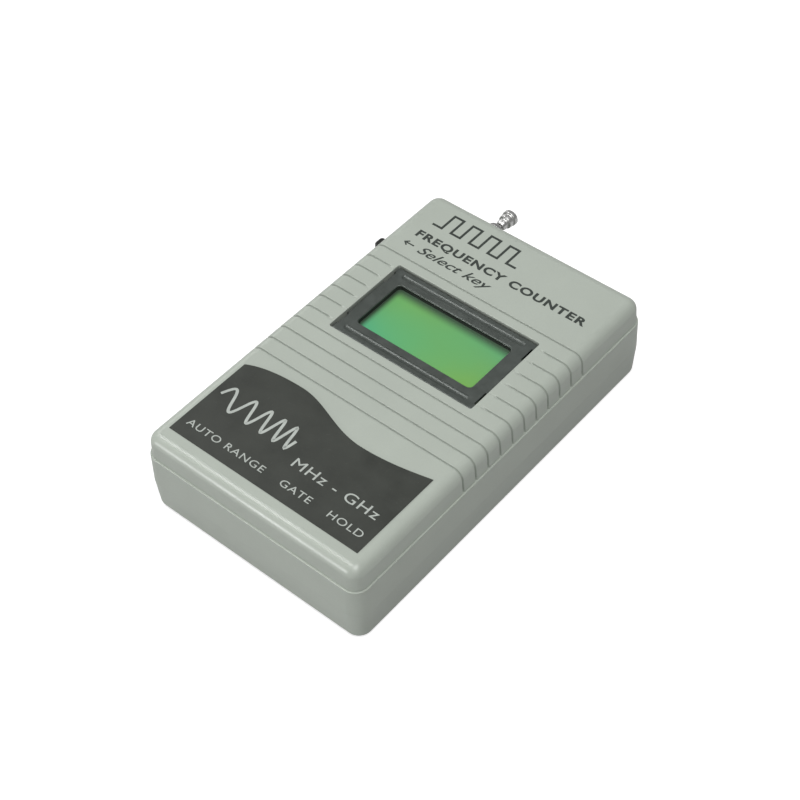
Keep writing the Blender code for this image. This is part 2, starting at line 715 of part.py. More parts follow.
def build_screws():
    large = (SCREW_HEAD_RADIUS, SCREW_HEAD_HEIGHT, SCREW_SHANK_RADIUS, SCREW_LENGTH)
    small_length = SMALL_SCREW_LENGTH + SMALL_HEAD_HEIGHT
    small = (SMALL_SCREW_HEAD, SMALL_HEAD_HEIGHT, SMALL_SCREW_SHANK, small_length)
    for number, (x, y) in enumerate(case_screw_places(), 1):
        base = (x, y, SCREW_RECESS - SCREW_HEAD_HEIGHT - GAP)
        screw(f"case_screw_{number}", base, *large)
    for number, (x, y) in enumerate(board_screw_places(), 1):
        down = screw(f"board_screw_{number}", (0, 0, 0), *small)
        top = MAIN_BOARD_TOP + GAP + SMALL_HEAD_HEIGHT
        down.matrix_world = Matrix.Translation((x, y, top)) @ Matrix.Rotation(math.pi, 4, "X")
    for number, (x, y) in enumerate(display_screw_places(), 1):
        base = (x, y, DISPLAY_BOARD_TOP - BOARD_THICKNESS - GAP - SMALL_HEAD_HEIGHT)
        screw(f"display_screw_{number}", base, *small)


# ---- label -----------------------------------------------------------------------------------
def build_label():
    """A film with a wavy far edge: a crest on the left, a trough right of the middle."""
    curve = bpy.data.curves.new("front_label", "CURVE")
    curve.dimensions = "2D"
    curve.fill_mode = "BOTH"
    curve.extrude = LABEL_THICKNESS / 2
    curve.resolution_u = 6
    spline = curve.splines.new("BEZIER")
    knots = [
        ((LABEL_LEFT, LABEL_NEAR), (0, 0), (0, 0)),
        ((LABEL_RIGHT, LABEL_NEAR), (0, 0), (0, 0)),
        ((LABEL_RIGHT, LABEL_RIGHT_END), (0, 0), LABEL_RIGHT_HANDLE),
        (LABEL_TROUGH, (LABEL_TROUGH_HANDLE, 0), (-LABEL_TROUGH_HANDLE, 0)),
        (LABEL_CREST, (LABEL_CREST_HANDLE, 0), (-LABEL_CREST_HANDLE, 0)),
        ((LABEL_LEFT, LABEL_LEFT_END), LABEL_LEFT_HANDLE, (0, 0)),
    ]
    spline.bezier_points.add(len(knots) - 1)
    for knot, (place, before, after) in zip(spline.bezier_points, knots):
        knot.handle_left_type = "FREE" if any(before) else "VECTOR"
        knot.handle_right_type = "FREE" if any(after) else "VECTOR"
        knot.co = (*place, 0.0)
        knot.handle_left = (place[0] + before[0], place[1] + before[1], 0.0)
        knot.handle_right = (place[0] + after[0], place[1] + after[1], 0.0)
    spline.use_cyclic_u = True
    label = add_object("front_label", curve, "label_film")
    label.location.z = CASE_HEIGHT + LABEL_GAP + LABEL_THICKNESS / 2


# ---- display module --------------------------------------------------------------------------
def plate_corners(centre, size, bottom, top):
    low = (centre.x - size[0] / 2, centre.y - size[1] / 2, bottom)
    high = (centre.x + size[0] / 2, centre.y + size[1] / 2, top)
    return low, high


def build_bezel():
    """The pressed metal frame: a face with two long channels, a window and four corner notches."""
    skirt = DISPLAY_BOARD_TOP + GAP
    plate = plate_corners(WINDOW_CENTRE, BEZEL_SIZE, skirt, BEZEL_TOP)
    bezel = box("display_bezel", *plate, "bezel_metal")
    inside = (BEZEL_SIZE[0] - 2 * BEZEL_SHEET, BEZEL_SIZE[1] - 2 * BEZEL_SHEET)
    hollow = plate_corners(WINDOW_CENTRE, inside, skirt - BEZEL_SHEET, BEZEL_TOP - BEZEL_SHEET)
    cut(bezel, box("bezel_hollow", *hollow))
    view = plate_corners(VIEW_CENTRE, VIEW_SIZE, GLASS_TOP, CASE_HEIGHT)
    cut(bezel, box("bezel_view", *view))
    for end, where in ((-1, "near"), (1, "far")):
        centre = CHANNEL_CENTRE + Vector((0, end * CHANNEL_OFFSET, 0))
        channel = plate_corners(centre, CHANNEL_SIZE, BEZEL_TOP - CHANNEL_DEPTH, CASE_HEIGHT)
        cut(bezel, box(f"bezel_channel_{where}", *channel))
    for number, (side, end) in enumerate([(-1, -1), (1, -1), (-1, 1), (1, 1)], 1):
        corner = Vector((side * BEZEL_SIZE[0] / 2, end * BEZEL_NOTCH_Y, 0)) + WINDOW_CENTRE
        size = (2 * BEZEL_NOTCH[0], BEZEL_NOTCH[1])
        notch = plate_corners(corner, size, skirt - BEZEL_SHEET, BEZEL_TOP + BEZEL_SHEET)
        cut(bezel, box(f"bezel_notch_{number}", *notch))


def build_display():
    build_bezel()
    glass = plate_corners(VIEW_CENTRE, GLASS_SIZE, GLASS_TOP - GLASS_THICKNESS, GLASS_TOP)
    box("display_glass", *glass, "display_glass")
    light_low = BACKLIGHT_TOP - BACKLIGHT_THICKNESS
    light = plate_corners(VIEW_CENTRE, BACKLIGHT_SIZE, light_low, BACKLIGHT_TOP)
    box("display_backlight", *light, "diffuser")
    board_low = DISPLAY_BOARD_TOP - BOARD_THICKNESS
    board = box(
        "display_board",
        *plate_corners(WINDOW_CENTRE, DISPLAY_BOARD_SIZE, board_low, DISPLAY_BOARD_TOP),
        "circuit_board",
    )
    for number, (x, y) in enumerate(display_screw_places(), 1):
        cut(board, board_hole(f"display_hole_{number}", (x, y, board_low - GAP)))
    for end, where in ((-1, "near"), (1, "far")):
        y = VIEW_CENTRE.y + end * (BACKLIGHT_SIZE[1] / 2 + GAP + ZEBRA_SIZE[1] / 2)
        middle = Vector((VIEW_CENTRE.x, y, 0))
        strip = plate_corners(middle, ZEBRA_SIZE, DISPLAY_BOARD_TOP + GAP, BACKLIGHT_TOP)
        box(f"display_contact_strip_{where}", *strip, "silicone")
    cylinder(
        "display_driver_blob",
        (WINDOW_CENTRE.x, WINDOW_CENTRE.y, board_low - GAP - BLOB_HEIGHT),
        BLOB_RADIUS * BLOB_SHARE,
        BLOB_HEIGHT,
        "chip_plastic",
        steps=FINE_STEPS,
        top_radius=BLOB_RADIUS,
    )
    centre = WINDOW_CENTRE + Vector((0, CONNECTOR_Y, 0))
    connector = plate_corners(centre, CONNECTOR_SIZE, MAIN_BOARD_TOP + GAP, board_low - GAP)
    box("display_connector", *connector, "black_plastic")


# ---- main board ------------------------------------------------------------------------------
def board_hole(name, base):
    """A cutter for the hole that a small screw passes through in a board."""
    return cylinder(
        name, base, SMALL_SCREW_SHANK + GAP, 3 * BOARD_THICKNESS, steps=PILOT_STEPS
    )


def chip(name, centre, size, legs_per_side):
    """A flat chip on the main board with a row of legs on each of its long sides."""
    bottom = MAIN_BOARD_TOP + GAP
    case = plate_corners(Vector((*centre, 0)), size, bottom + CHIP_STANDOFF, bottom + size[2])
    body = box(name, *case, "chip_plastic")
    legs = bmesh.new()
    for side in (-1, 1):
        for index in range(legs_per_side):
            x = centre[0] + (index - (legs_per_side - 1) / 2) * CHIP_LEG_PITCH
            y = centre[1] + side * (size[1] / 2 + CHIP_LEG[1] / 2 - CHIP_STANDOFF)
            place = Matrix.Translation((x, y, bottom + CHIP_LEG[2] / 2))
            placed = place @ Matrix.Diagonal((*CHIP_LEG, 1.0))
            bmesh.ops.create_cube(legs, size=1.0, matrix=placed)
    cut(body, mesh_object(f"{name}_legs", legs), "UNION")


def build_main_board():
    low = (-MAIN_BOARD_X, MAIN_BOARD_Y[0], MAIN_BOARD_TOP - BOARD_THICKNESS)
    high = (MAIN_BOARD_X, MAIN_BOARD_Y[1], MAIN_BOARD_TOP)
    board = box("main_board", low, high, "circuit_board")
    for number, (x, y) in enumerate(board_screw_places(), 1):
        cut(board, board_hole(f"board_hole_{number}", (x, y, low[2] - GAP)))
    for name, (centre, size, legs_per_side) in CHIPS.items():
        chip(name, centre, size, legs_per_side)
    stand = MAIN_BOARD_TOP + GAP
    crystal = plate_corners(CRYSTAL_PLACE, CRYSTAL_SIZE, stand, stand + CRYSTAL_HEIGHT)
    box("crystal", *crystal, "steel", bevel=CRYSTAL_ROUND)
    for name, (centre, radius) in CAPACITORS.items():
        foot = (*centre, stand)
        cylinder(name, foot, radius, CAPACITOR_HEIGHT, "capacitor_sleeve", steps=FINE_STEPS)
    regulator = plate_corners(REGULATOR_PLACE, REGULATOR_SIZE, stand, stand + REGULATOR_HEIGHT)
    box("voltage_regulator", *regulator, "chip_plastic")


# ---- battery ---------------------------------------------------------------------------------
def build_battery():
    """The battery with its two terminals, the snap that clips on them, and the snap's leads."""
    half_y = BATTERY_BODY[1] / 2
    low = (BATTERY_LEFT, BATTERY_CENTRE_Y - half_y, BATTERY_BOTTOM)
    right = BATTERY_LEFT + BATTERY_BODY[0]
    high = (right, BATTERY_CENTRE_Y + half_y, BATTERY_BOTTOM + BATTERY_BODY[2])
    battery = box("battery", low, high, "battery_wrap", bevel=BATTERY_ROUND)
    middle_z = BATTERY_BOTTOM + BATTERY_BODY[2] / 2
    plate_x = right + GAP
    snap = box(
        "battery_snap",
        (plate_x, BATTERY_CENTRE_Y - SNAP_SIZE[1] / 2, middle_z - SNAP_SIZE[2] / 2),
        (plate_x + SNAP_SIZE[0], BATTERY_CENTRE_Y + SNAP_SIZE[1] / 2, middle_z + SNAP_SIZE[2] / 2),
        "black_plastic",
    )
    reach = TERMINAL_HEIGHT + OVERLAP
    for end, pole, radius in ((-1, "minus", TERMINAL_RADIUS[0]), (1, "plus", TERMINAL_RADIUS[1])):
        base = (right - OVERLAP, BATTERY_CENTRE_Y + end * TERMINAL_SPREAD / 2, middle_z)
        terminal = cylinder(
            f"terminal_{pole}", base, radius, reach, axis="X", steps=BOSS_STEPS
        )
        cut(battery, terminal, "UNION")
        socket = cylinder(
            f"socket_{pole}", base, radius + GAP, reach + GAP, axis="X", steps=BOSS_STEPS
        )
        cut(snap, socket)
    start = (plate_x + SNAP_SIZE[0] / 2, BATTERY_CENTRE_Y + SNAP_SIZE[1] / 2 + GAP)
    build_lead("red_battery_lead", "red_insulation", (*start, LEAD_HEIGHTS[0]))
    build_lead("black_battery_lead", "black_insulation", (*start, LEAD_HEIGHTS[1]))


def build_lead(name, material, start):
    """A lead from the snap, over the notch in the bay's wall, down to the main board."""
    start = Vector(start)
    drop = MAIN_BOARD_TOP + GAP + LEAD_RADIUS
    end_x = start.x - (start.z - LEAD_HEIGHTS[1])
    route = [
        start,
        *[start + Vector(bend) for bend in LEAD_BENDS],
        Vector((end_x, MAIN_BOARD_Y[0] + LEAD_LANDING, drop + LEAD_LANDING_LIFT)),
        Vector((end_x, MAIN_BOARD_Y[0] + LEAD_REACH, drop)),
    ]
    wire(name, route, LEAD_RADIUS, material)


# ---- whip ------------------------------------------------------------------------------------
def tube_radii(index):
    """Inner and outer radius of whip tube number index, counted from the outermost."""
    within = WHIP_TUBES - 1 - index
    inner = ROD_RADIUS + (within + 1) * TUBE_GAP + within * TUBE_WALL
    return inner, inner + TUBE_WALL


def build_whip():
    """The telescopic tubes, the rod with its knob, the bushing, and the bracket at the rear."""
    for index, name in enumerate(("whip_base_tube", "whip_middle_tube", "whip_slim_tube")):
        inner, outer = tube_radii(index)
        rear = WHIP_REAR + index * TUBE_REAR_STEP
        mouth = WHIP_MOUTH + index * TUBE_STEP
        profile = [(outer, mouth - rear), (outer, 0.0), (inner, 0.0), (inner, mouth - rear)]
        turned(name, profile, "chrome", along_y(WHIP_X, rear, WHIP_Z))
    rod_rear = WHIP_REAR + WHIP_TUBES * TUBE_REAR_STEP
    rod_end = KNOB_START + KNOB_GRIP
    rod_base = (WHIP_X, rod_rear, WHIP_Z)
    rod_length = rod_end - rod_rear
    cylinder("whip_rod", rod_base, ROD_RADIUS, rod_length, "chrome", "Y", FINE_STEPS)
    build_knob(rod_end)
    build_bushing()
    build_bracket()


def build_bracket():
    """The brass bracket that holds the whip's rear end, and the lead from it to the amplifier."""
    face = WHIP_REAR + BRACKET_SETBACK
    stand = MAIN_BOARD_TOP + GAP
    low = (WHIP_X - BRACKET_HALF, face, stand)
    high = (WHIP_X + BRACKET_HALF, face + BRACKET_THICKNESS, WHIP_Z + BRACKET_HALF)
    bracket = box("whip_bracket", low, high, "brass")
    base = (WHIP_X, face - WALL, WHIP_Z)
    radius = tube_radii(0)[1] + GAP
    cut(bracket, cylinder("bracket_hole", base, radius, 3 * WALL, axis="Y", steps=FINE_STEPS))
    start = Vector((low[0] - GAP, face + BRACKET_THICKNESS / 2, stand + WHIP_LEAD_LIFT))
    route = [start, *[start + Vector(bend) for bend in WHIP_LEAD_BENDS]]
    wire("whip_lead", route, WHIP_LEAD_RADIUS, "red_insulation")


def build_knob(rod_end):
    """The turned knob: a neck that widens in three steps, with a groove below each wider step."""
    length = KNOB_END - KNOB_START
    first, second, third = KNOB_RADII
    bore = ROD_RADIUS + TUBE_GAP
    depth = rod_end - KNOB_START + GAP
    profile = [
        (0.0, length),
        (third - KNOB_EDGE, length),
        (third, length - KNOB_EDGE),
        (third, length * KNOB_WIDE_FROM),
        (second - KNOB_GROOVE, length * KNOB_UPPER_GROOVE[1]),
        (second - KNOB_GROOVE, length * KNOB_UPPER_GROOVE[0]),
        (second, length * KNOB_MIDDLE[1]),
        (second - KNOB_TAPER, length * KNOB_MIDDLE[0]),
        (first - KNOB_GROOVE, length * KNOB_LOWER_GROOVE[1]),
        (first - KNOB_GROOVE, length * KNOB_LOWER_GROOVE[0]),
        (first - KNOB_TAPER, length * KNOB_NARROW_TO),
        (KNOB_NECK, 0.0),
        (bore, 0.0),
        (bore, depth),
        (0.0, depth),
    ]
    turned("whip_knob", profile, "chrome", along_y(WHIP_X, KNOB_START, WHIP_Z))


def build_bushing():
    """The flanged sleeve in the back wall, with the nut that holds it from inside."""
    length = BUSHING_NOSE - BUSHING_REAR
    seat = BACK + TUBE_GAP - BUSHING_REAR
    profile = [
        (BUSHING_BORE + BUSHING_LIP, length),
        (BUSHING_FLANGE - BUSHING_TAPER, length - BUSHING_EDGE),
        (BUSHING_FLANGE, seat + BUSHING_EDGE),
        (BUSHING_FLANGE, seat),
        (BUSHING_THREAD, seat),
        (BUSHING_THREAD, 0.0),
        (BUSHING_BORE, 0.0),
        (BUSHING_BORE, length),
    ]
    place = along_y(WHIP_X, BUSHING_REAR, WHIP_Z)
    turned("whip_bushing", profile, "chrome", place, steps=FINE_STEPS)
    nut_y = BACK - UPPER_INNER_INSET - GAP - NUT_THICKNESS
    nut = cylinder("whip_nut", (WHIP_X, nut_y, WHIP_Z), NUT_RADIUS, NUT_THICKNESS, "brass", "Y", 6)
    base = (WHIP_X, nut_y - GAP, WHIP_Z)
    radius = BUSHING_THREAD + TUBE_GAP
    cut(nut, cylinder("nut_bore", base, radius, 2 * NUT_THICKNESS, axis="Y", steps=FINE_STEPS))


# ---- multi-way key ---------------------------------------------------------------------------
def build_key():
    """A switch with a plunger that is pressed in, and a lever that rocks on the plunger's pin."""
    half_z = KEY_THICKNESS / 2
    tongue = half_z - KEY_CHEEK - TUBE_GAP
    room = PLUNGER_WIDTH / 2 + GAP
    body = box(
        "key_switch_body",
        (KEY_BODY_X[0], KEY_Y - KEY_BODY_WIDTH / 2, MAIN_BOARD_TOP + GAP),
        (KEY_BODY_X[1], KEY_Y + KEY_BODY_WIDTH / 2, KEY_BODY_TOP),
        "black_plastic",
    )
    low = (KEY_BODY_X[0] - WALL, KEY_Y - room, KEY_Z - half_z - GAP)
    high = (PLUNGER_END_X + KEY_TRAVEL + GAP, KEY_Y + room, KEY_Z + half_z + GAP)
    cut(body, box("key_body_hollow", low, high))
    plunger = box(
        "key_plunger",
        (KEY_BODY_X[0] + KEY_TRAVEL / 2, KEY_Y - PLUNGER_WIDTH / 2, KEY_Z - half_z),
        (PLUNGER_END_X, KEY_Y + PLUNGER_WIDTH / 2, KEY_Z + half_z),
        "black_plastic",
    )
    low = (KEY_PIVOT_X - KEY_EYE, KEY_Y - KEY_TONGUE_HALF, KEY_Z - tongue)
    high = (KEY_BODY_X[0] + 2 * KEY_TRAVEL, KEY_Y + KEY_TONGUE_HALF, KEY_Z + tongue)
    cut(plunger, box("key_tongue", low, high), "UNION")
    base = (KEY_PIVOT_X, KEY_Y, KEY_Z - half_z)
    pin = cylinder("key_pin", base, KEY_PIN_RADIUS, KEY_THICKNESS, steps=SCREW_STEPS)
    cut(plunger, pin, "UNION")
    build_lever(tongue)


def build_lever(tongue):
    """The lever: a slim rounded bar, forked at its inner end and bored for the plunger's pin."""
    half_z = KEY_THICKNESS / 2
    lever = box(
        "key_lever",
        (KEY_TIP_X, KEY_Y - KEY_WIDTH / 2, KEY_Z - half_z),
        (KEY_PIVOT_X + KEY_EYE, KEY_Y + KEY_WIDTH / 2, KEY_Z + half_z),
        "black_plastic",
        bevel=KEY_ROUND,
        segments=2,
    )
    low = (KEY_PIVOT_X - KEY_FORK_DEPTH, KEY_Y - KEY_WIDTH, KEY_Z - tongue - TUBE_GAP)
    high = (KEY_PIVOT_X + WALL, KEY_Y + KEY_WIDTH, KEY_Z + tongue + TUBE_GAP)
    cut(lever, box("key_fork", low, high))
    base = (KEY_PIVOT_X, KEY_Y, KEY_Z - KEY_THICKNESS)
    radius = KEY_PIN_RADIUS + TUBE_GAP
    cut(lever, cylinder("key_bore", base, radius, 2 * KEY_THICKNESS, steps=SCREW_STEPS))


# ---- assembly --------------------------------------------------------------------------------
def build_all():
    top_shell = build_top_shell()
    bottom_shell = build_bottom_shell()
    for cutter in (whip_hole_cutter(), key_slot_cutter()):
        cut(top_shell, cutter)
        cut(bottom_shell, cutter)
    build_door()
    build_screws()
    build_label()
    build_display()
    build_main_board()
    build_battery()
    build_whip()
    build_key()


build_all()
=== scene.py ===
"""The looks of the pocket frequency counter: fine shells, display, label, whip, key and
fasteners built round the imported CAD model, with procedural materials on every piece.

Frame: metres, +Z up out of the display face, +Y towards the end where the whip comes out,
+X to the right. The origin is the middle of the case's underside.
"""

import json
import math

import bmesh
import bpy
from mathutils import Matrix, Vector


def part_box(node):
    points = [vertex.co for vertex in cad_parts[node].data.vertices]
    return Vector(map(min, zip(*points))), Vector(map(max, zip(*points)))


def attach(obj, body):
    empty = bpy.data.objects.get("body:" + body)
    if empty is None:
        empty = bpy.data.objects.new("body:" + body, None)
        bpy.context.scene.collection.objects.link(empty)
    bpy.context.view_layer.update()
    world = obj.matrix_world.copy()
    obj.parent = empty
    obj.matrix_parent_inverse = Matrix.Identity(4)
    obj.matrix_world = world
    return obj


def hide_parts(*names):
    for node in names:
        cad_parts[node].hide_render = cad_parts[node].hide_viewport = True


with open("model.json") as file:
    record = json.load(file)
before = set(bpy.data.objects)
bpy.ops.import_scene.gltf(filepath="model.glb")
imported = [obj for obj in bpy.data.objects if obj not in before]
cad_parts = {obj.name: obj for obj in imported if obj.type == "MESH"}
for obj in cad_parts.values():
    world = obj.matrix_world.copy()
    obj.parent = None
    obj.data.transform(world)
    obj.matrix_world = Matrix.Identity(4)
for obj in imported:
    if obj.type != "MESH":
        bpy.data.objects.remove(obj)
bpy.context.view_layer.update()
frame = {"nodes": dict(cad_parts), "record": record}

MM = 0.001

# ---- places read from the frame ----
RIM_STEP = 0.45 * MM
SHELL_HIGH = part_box("top_shell")[1]
TOP = SHELL_HIGH.z
SIDE = SHELL_HIGH.x + RIM_STEP
BACK = SHELL_HIGH.y + RIM_STEP
BEZEL_LOW, BEZEL_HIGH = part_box("display_bezel")
GLASS_LOW, GLASS_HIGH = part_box("display_glass")
LABEL_LOW, LABEL_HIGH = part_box("front_label")
DOOR_LOW, DOOR_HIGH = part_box("battery_door")
KNOB_LOW, KNOB_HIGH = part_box("whip_knob")
WHIP_X = (KNOB_LOW.x + KNOB_HIGH.x) / 2
WHIP_Z = (KNOB_LOW.z + KNOB_HIGH.z) / 2
LEVER_LOW, LEVER_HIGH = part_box("key_lever")
KEY_Y = (LEVER_LOW.y + LEVER_HIGH.y) / 2
KEY_Z = (LEVER_LOW.z + LEVER_HIGH.z) / 2

# ---- case dimensions the frame's boxes don't give ----
PARTING = 18.8 * MM
SEAM = 0.3 * MM
RIM_EDGE = 0.02 * MM
# height above the parting line kept free of painted shade, and how far the occlusion reaches that
# paints shade in grooves and corners
LEDGE_UNSHADED = 0.7 * MM
OCCLUSION_REACH = 1.2 * MM
DRAFT = 0.25 * MM
CORNER = 4.2 * MM
SHOULDER = 3.1 * MM
BASE_ROUND = 1.4 * MM
BASE_INSET = 0.3 * MM
CREASE = 9.5 * MM
CREASE_BULGE = 0.25 * MM
CREASE_SOFT = 0.25 * MM
LEDGE_EDGE = 0.12 * MM
WALL = 2.0 * MM
LIP_INSET = 1.3 * MM
LIP_HEIGHT = 1.4 * MM
LIP_THICKNESS = 0.8 * MM
OVERLAP = 0.5 * MM
INNER_CORNER = CORNER + 1.5 * MM
CORNER_STEPS = 14
SHOULDER_STEPS = 12

GROOVE_COUNT = 11
GROOVE_FIRST_Y = 30.9 * MM
GROOVE_PITCH = 4.9 * MM
GROOVE_DEPTH = 0.46 * MM
GROOVE_FLOOR = 0.15 * MM
GROOVE_HALF = 0.42 * MM
GROOVE_HOLD = 0.54 * MM
GROOVE_RAMP = 1.2 * MM
FLANK_STEPS = 6
RAMP_STEPS = 4
GROOVES_BESIDE_WINDOW = range(1, 7)
GROOVE_INNER_END = 25.2 * MM

WINDOW_CENTRE = Vector((-0.15 * MM, 13.6 * MM))
WINDOW_HALF = Vector((23.55 * MM, 14.3 * MM))
VIEW_CENTRE = Vector((-0.35 * MM, 13.9 * MM))
VIEW_HALF = Vector((19.0 * MM, 8.8 * MM))
VIEW_CORNER = 1.3 * MM
BEZEL_SHEET = 0.5 * MM
CHANNEL_CENTRE = Vector((-0.15 * MM, 13.85 * MM))
CHANNEL_OFFSET = 11.8 * MM
CHANNEL_HALF = Vector((20.6 * MM, 0.95 * MM))
CHANNEL_DEPTH = 0.42 * MM
NOTCH_HALF = Vector((0.7 * MM, 2.3 * MM))
NOTCH_Y = 9.6 * MM
CELL_DEPTH = 0.8 * MM
# width of the painted frame shadow on the cell's left and far edges
SHADE_REACH = (2.2 * MM, 3.6 * MM)
BEZEL_GROWTH = (0.12 * MM, 0.02 * MM)

CASE_SCREWS = [(x, y) for y in (-51.0 * MM, 51.0 * MM) for x in (-30.3 * MM, 30.3 * MM)]
BOARD_SCREWS = [(x, y) for y in (-19.0 * MM, 42.5 * MM) for x in (-27.6 * MM, 27.6 * MM)]
DISPLAY_SCREWS = [
    (WINDOW_CENTRE.x + x, WINDOW_CENTRE.y + y)
    for y in (-13.5 * MM, 13.5 * MM)
    for x in (-26.7 * MM, 26.7 * MM)
]

TONGUE_Y = (-43.0 * MM, -33.0 * MM)

# ---- mesh helpers ----
SMALLEST_CORNER = 0.05 * MM
TUBE_STEPS = 32
NORMAL_WEIGHT = 80
TINY = 1e-7


def outline(half, radius, steps=CORNER_STEPS):
    """A rectangle with round corners as (x, y) points, anticlockwise from the right side."""
    signs = ((1, 1), (-1, 1), (-1, -1), (1, -1))
    points = []
    for quarter, (across, along) in enumerate(signs):
        for step in range(steps + 1):
            angle = (quarter + step / steps) * math.pi / 2
            points.append(
                (
                    across * (half[0] - radius) + radius * math.cos(angle),
                    along * (half[1] - radius) + radius * math.sin(angle),
                )
            )
    return points


def skin(rings):
    """A closed body through rings of points, from the lowest to the highest."""
    bm = bmesh.new()
    loops = [[bm.verts.new(point) for point in ring] for ring in rings]
    for lower, upper in zip(loops, loops[1:]):
        for index in range(len(lower)):
            after = (index + 1) % len(lower)
            bm.faces.new((lower[index], lower[after], upper[after], upper[index]))
    bm.faces.new(list(reversed(loops[0])))
    bm.faces.new(loops[-1])
    return bm


def block(levels, half, corner, centre=(0.0, 0.0), steps=CORNER_STEPS):
    """A body with round corners: levels are (height, inset) from the bottom to the top."""
    rings = []
    for height, inset in levels:
        radius = max(corner - inset, SMALLEST_CORNER)
        flat = outline((half[0] - inset, half[1] - inset), radius, steps)
        rings.append([(x + centre[0], y + centre[1], height) for x, y in flat])
    return skin(rings)


def round_up(height, radius, inset, steps):
    """Levels of a quarter round that closes in towards this height."""
    angles = [math.pi / 2 * step / steps for step in range(steps + 1)]
    return [
        (height - radius * (1 - math.sin(a)), inset + radius * (1 - math.cos(a))) for a in angles
    ]


def round_down(height, radius, inset, steps):
    """Levels of a quarter round that opens out upwards from this height."""
    mirrored = round_up(-height, radius, inset, steps)
    return [(-level, inward) for level, inward in reversed(mirrored)]


def lathe(profile, segments=48):
    """A closed turned body about local Z: profile is (radius, height) from one end to the other."""
    bm = bmesh.new()
    loops = []
    for radius, height in profile:
        turn = [2 * math.pi * index / segments for index in range(segments)]
        if radius == 0:
            loops.append([bm.verts.new((0, 0, height))])
        else:
            ring = [(radius * math.cos(a), radius * math.sin(a), height) for a in turn]
            loops.append([bm.verts.new(point) for point in ring])
    if len(loops[0]) > 1:
        loops.append(loops[0])
    for first, second in zip(loops, loops[1:]):
        for index in range(segments):
            after = (index + 1) % segments
            corners = [
                first[index % len(first)],
                first[after % len(first)],
                second[after % len(second)],
                second[index % len(second)],
            ]
            bm.faces.new(list(dict.fromkeys(corners)))
    bmesh.ops.recalc_face_normals(bm, faces=bm.faces)
    return bm


def tubes(places, radius, low, high):
    """Upright cylinders at several places in one mesh."""
    bm = bmesh.new()
    for x, y in places:
        place = Matrix.Translation((x, y, (low + high) / 2))
        bmesh.ops.create_cone(
            bm, cap_ends=True, segments=TUBE_STEPS, radius1=radius, radius2=radius,
            depth=high - low, matrix=place,
        )
    return bm


def bar(low, high):
    """A plain box between two corners, for cutting or joining."""
    bm = bmesh.new()
    low, high = Vector(low), Vector(high)
    placed = Matrix.Translation((low + high) / 2) @ Matrix.Diagonal((*(high - low), 1.0))
    bmesh.ops.create_cube(bm, size=1.0, matrix=placed)
    return bm


def add_mesh(name, bm, place=None):
    mesh = bpy.data.meshes.new(name)
    if place is not None:
        bm.transform(place)
    bm.to_mesh(mesh)
    bm.free()
    obj = bpy.data.objects.new(name, mesh)
    bpy.context.scene.collection.objects.link(obj)
    return obj


def bake(obj):
    """Turns the object's modifiers into its mesh."""
    graph = bpy.context.evaluated_depsgraph_get()
    mesh = bpy.data.meshes.new_from_object(obj.evaluated_get(graph))
    obj.modifiers.clear()
    obj.data = mesh


def carve(target, bm, operation="DIFFERENCE"):
    """Cuts a closed mesh from the target, or joins it on."""
    cutter = add_mesh("cutter", bm)
    modifier = target.modifiers.new("carve", "BOOLEAN")
    modifier.operation = operation
    modifier.object = cutter
    bake(target)
    bpy.data.objects.remove(cutter)


def soften(obj, width, angle):
    """Rounds the edges sharper than this angle."""
    bevel = obj.modifiers.new("soften", "BEVEL")
    bevel.limit_method = "ANGLE"
    bevel.angle_limit = math.radians(angle)
    bevel.width = width
    bevel.segments = 2
    bevel.use_clamp_overlap = True


def shade(obj, angle=35):
    """Smooth shading that keeps flat faces flat and hard edges hard."""
    obj.data.shade_smooth()
    obj.data.set_sharp_from_angle(angle=math.radians(angle))
    normals = obj.modifiers.new("normals", "WEIGHTED_NORMAL")
    normals.keep_sharp = True
    normals.weight = NORMAL_WEIGHT


def add_piece(obj, body, material, slot, *replaced):
    """Gives a finished piece its material and its body, and hides the CAD nodes that it stands for."""
    obj.data.materials.clear()
    obj.data.materials.append(material)
    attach(obj, body)
    if replaced:
        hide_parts(*replaced)
    return obj


# ---- materials ----
PLASTIC = (0.400, 0.436, 0.388)
PLASTIC_GRAIN = 0.012 * MM
PLASTIC_SWELL = 0.05 * MM
PLASTIC_IOR = 1.5
SPECK_SHADE = 0.86
# tone of the painted shade in grooves and corners
PAINTED_SHADE_TONE = 0.75
FILM_DARK = (0.024, 0.027, 0.022)
FILM_PALE = (0.032, 0.036, 0.029)
FILM_LINT = (0.09, 0.09, 0.08)
FILM_PEEL = 0.01 * MM
CELL_NEAR_LEFT = (0.073, 0.362, 0.197)
CELL_NEAR_RIGHT = (0.172, 0.350, 0.066)
CELL_FAR_LEFT = (0.155, 0.338, 0.072)
CELL_FAR_RIGHT = (0.095, 0.318, 0.152)
CELL_CLOUD = (0.103, 0.370, 0.144)
# painted shadow of the frame on the cell's left and far edges
CELL_SHADE = (0.045, 0.078, 0.048)
CELL_GLOW = 0.15
BOARD_DARK = (0.014, 0.095, 0.030)
BOARD_PALE = (0.020, 0.125, 0.042)
BOARD_TRACK = (0.045, 0.200, 0.060)
TRACK_HEIGHT = 0.035 * MM
BEZEL_DARK = (0.063, 0.073, 0.066)
BEZEL_RUBBED = (0.088, 0.100, 0.092)
BEZEL_GRAIN = 0.006 * MM
GLOSS_SPREAD = 0.05
GRAIN_SIZE = 0.2


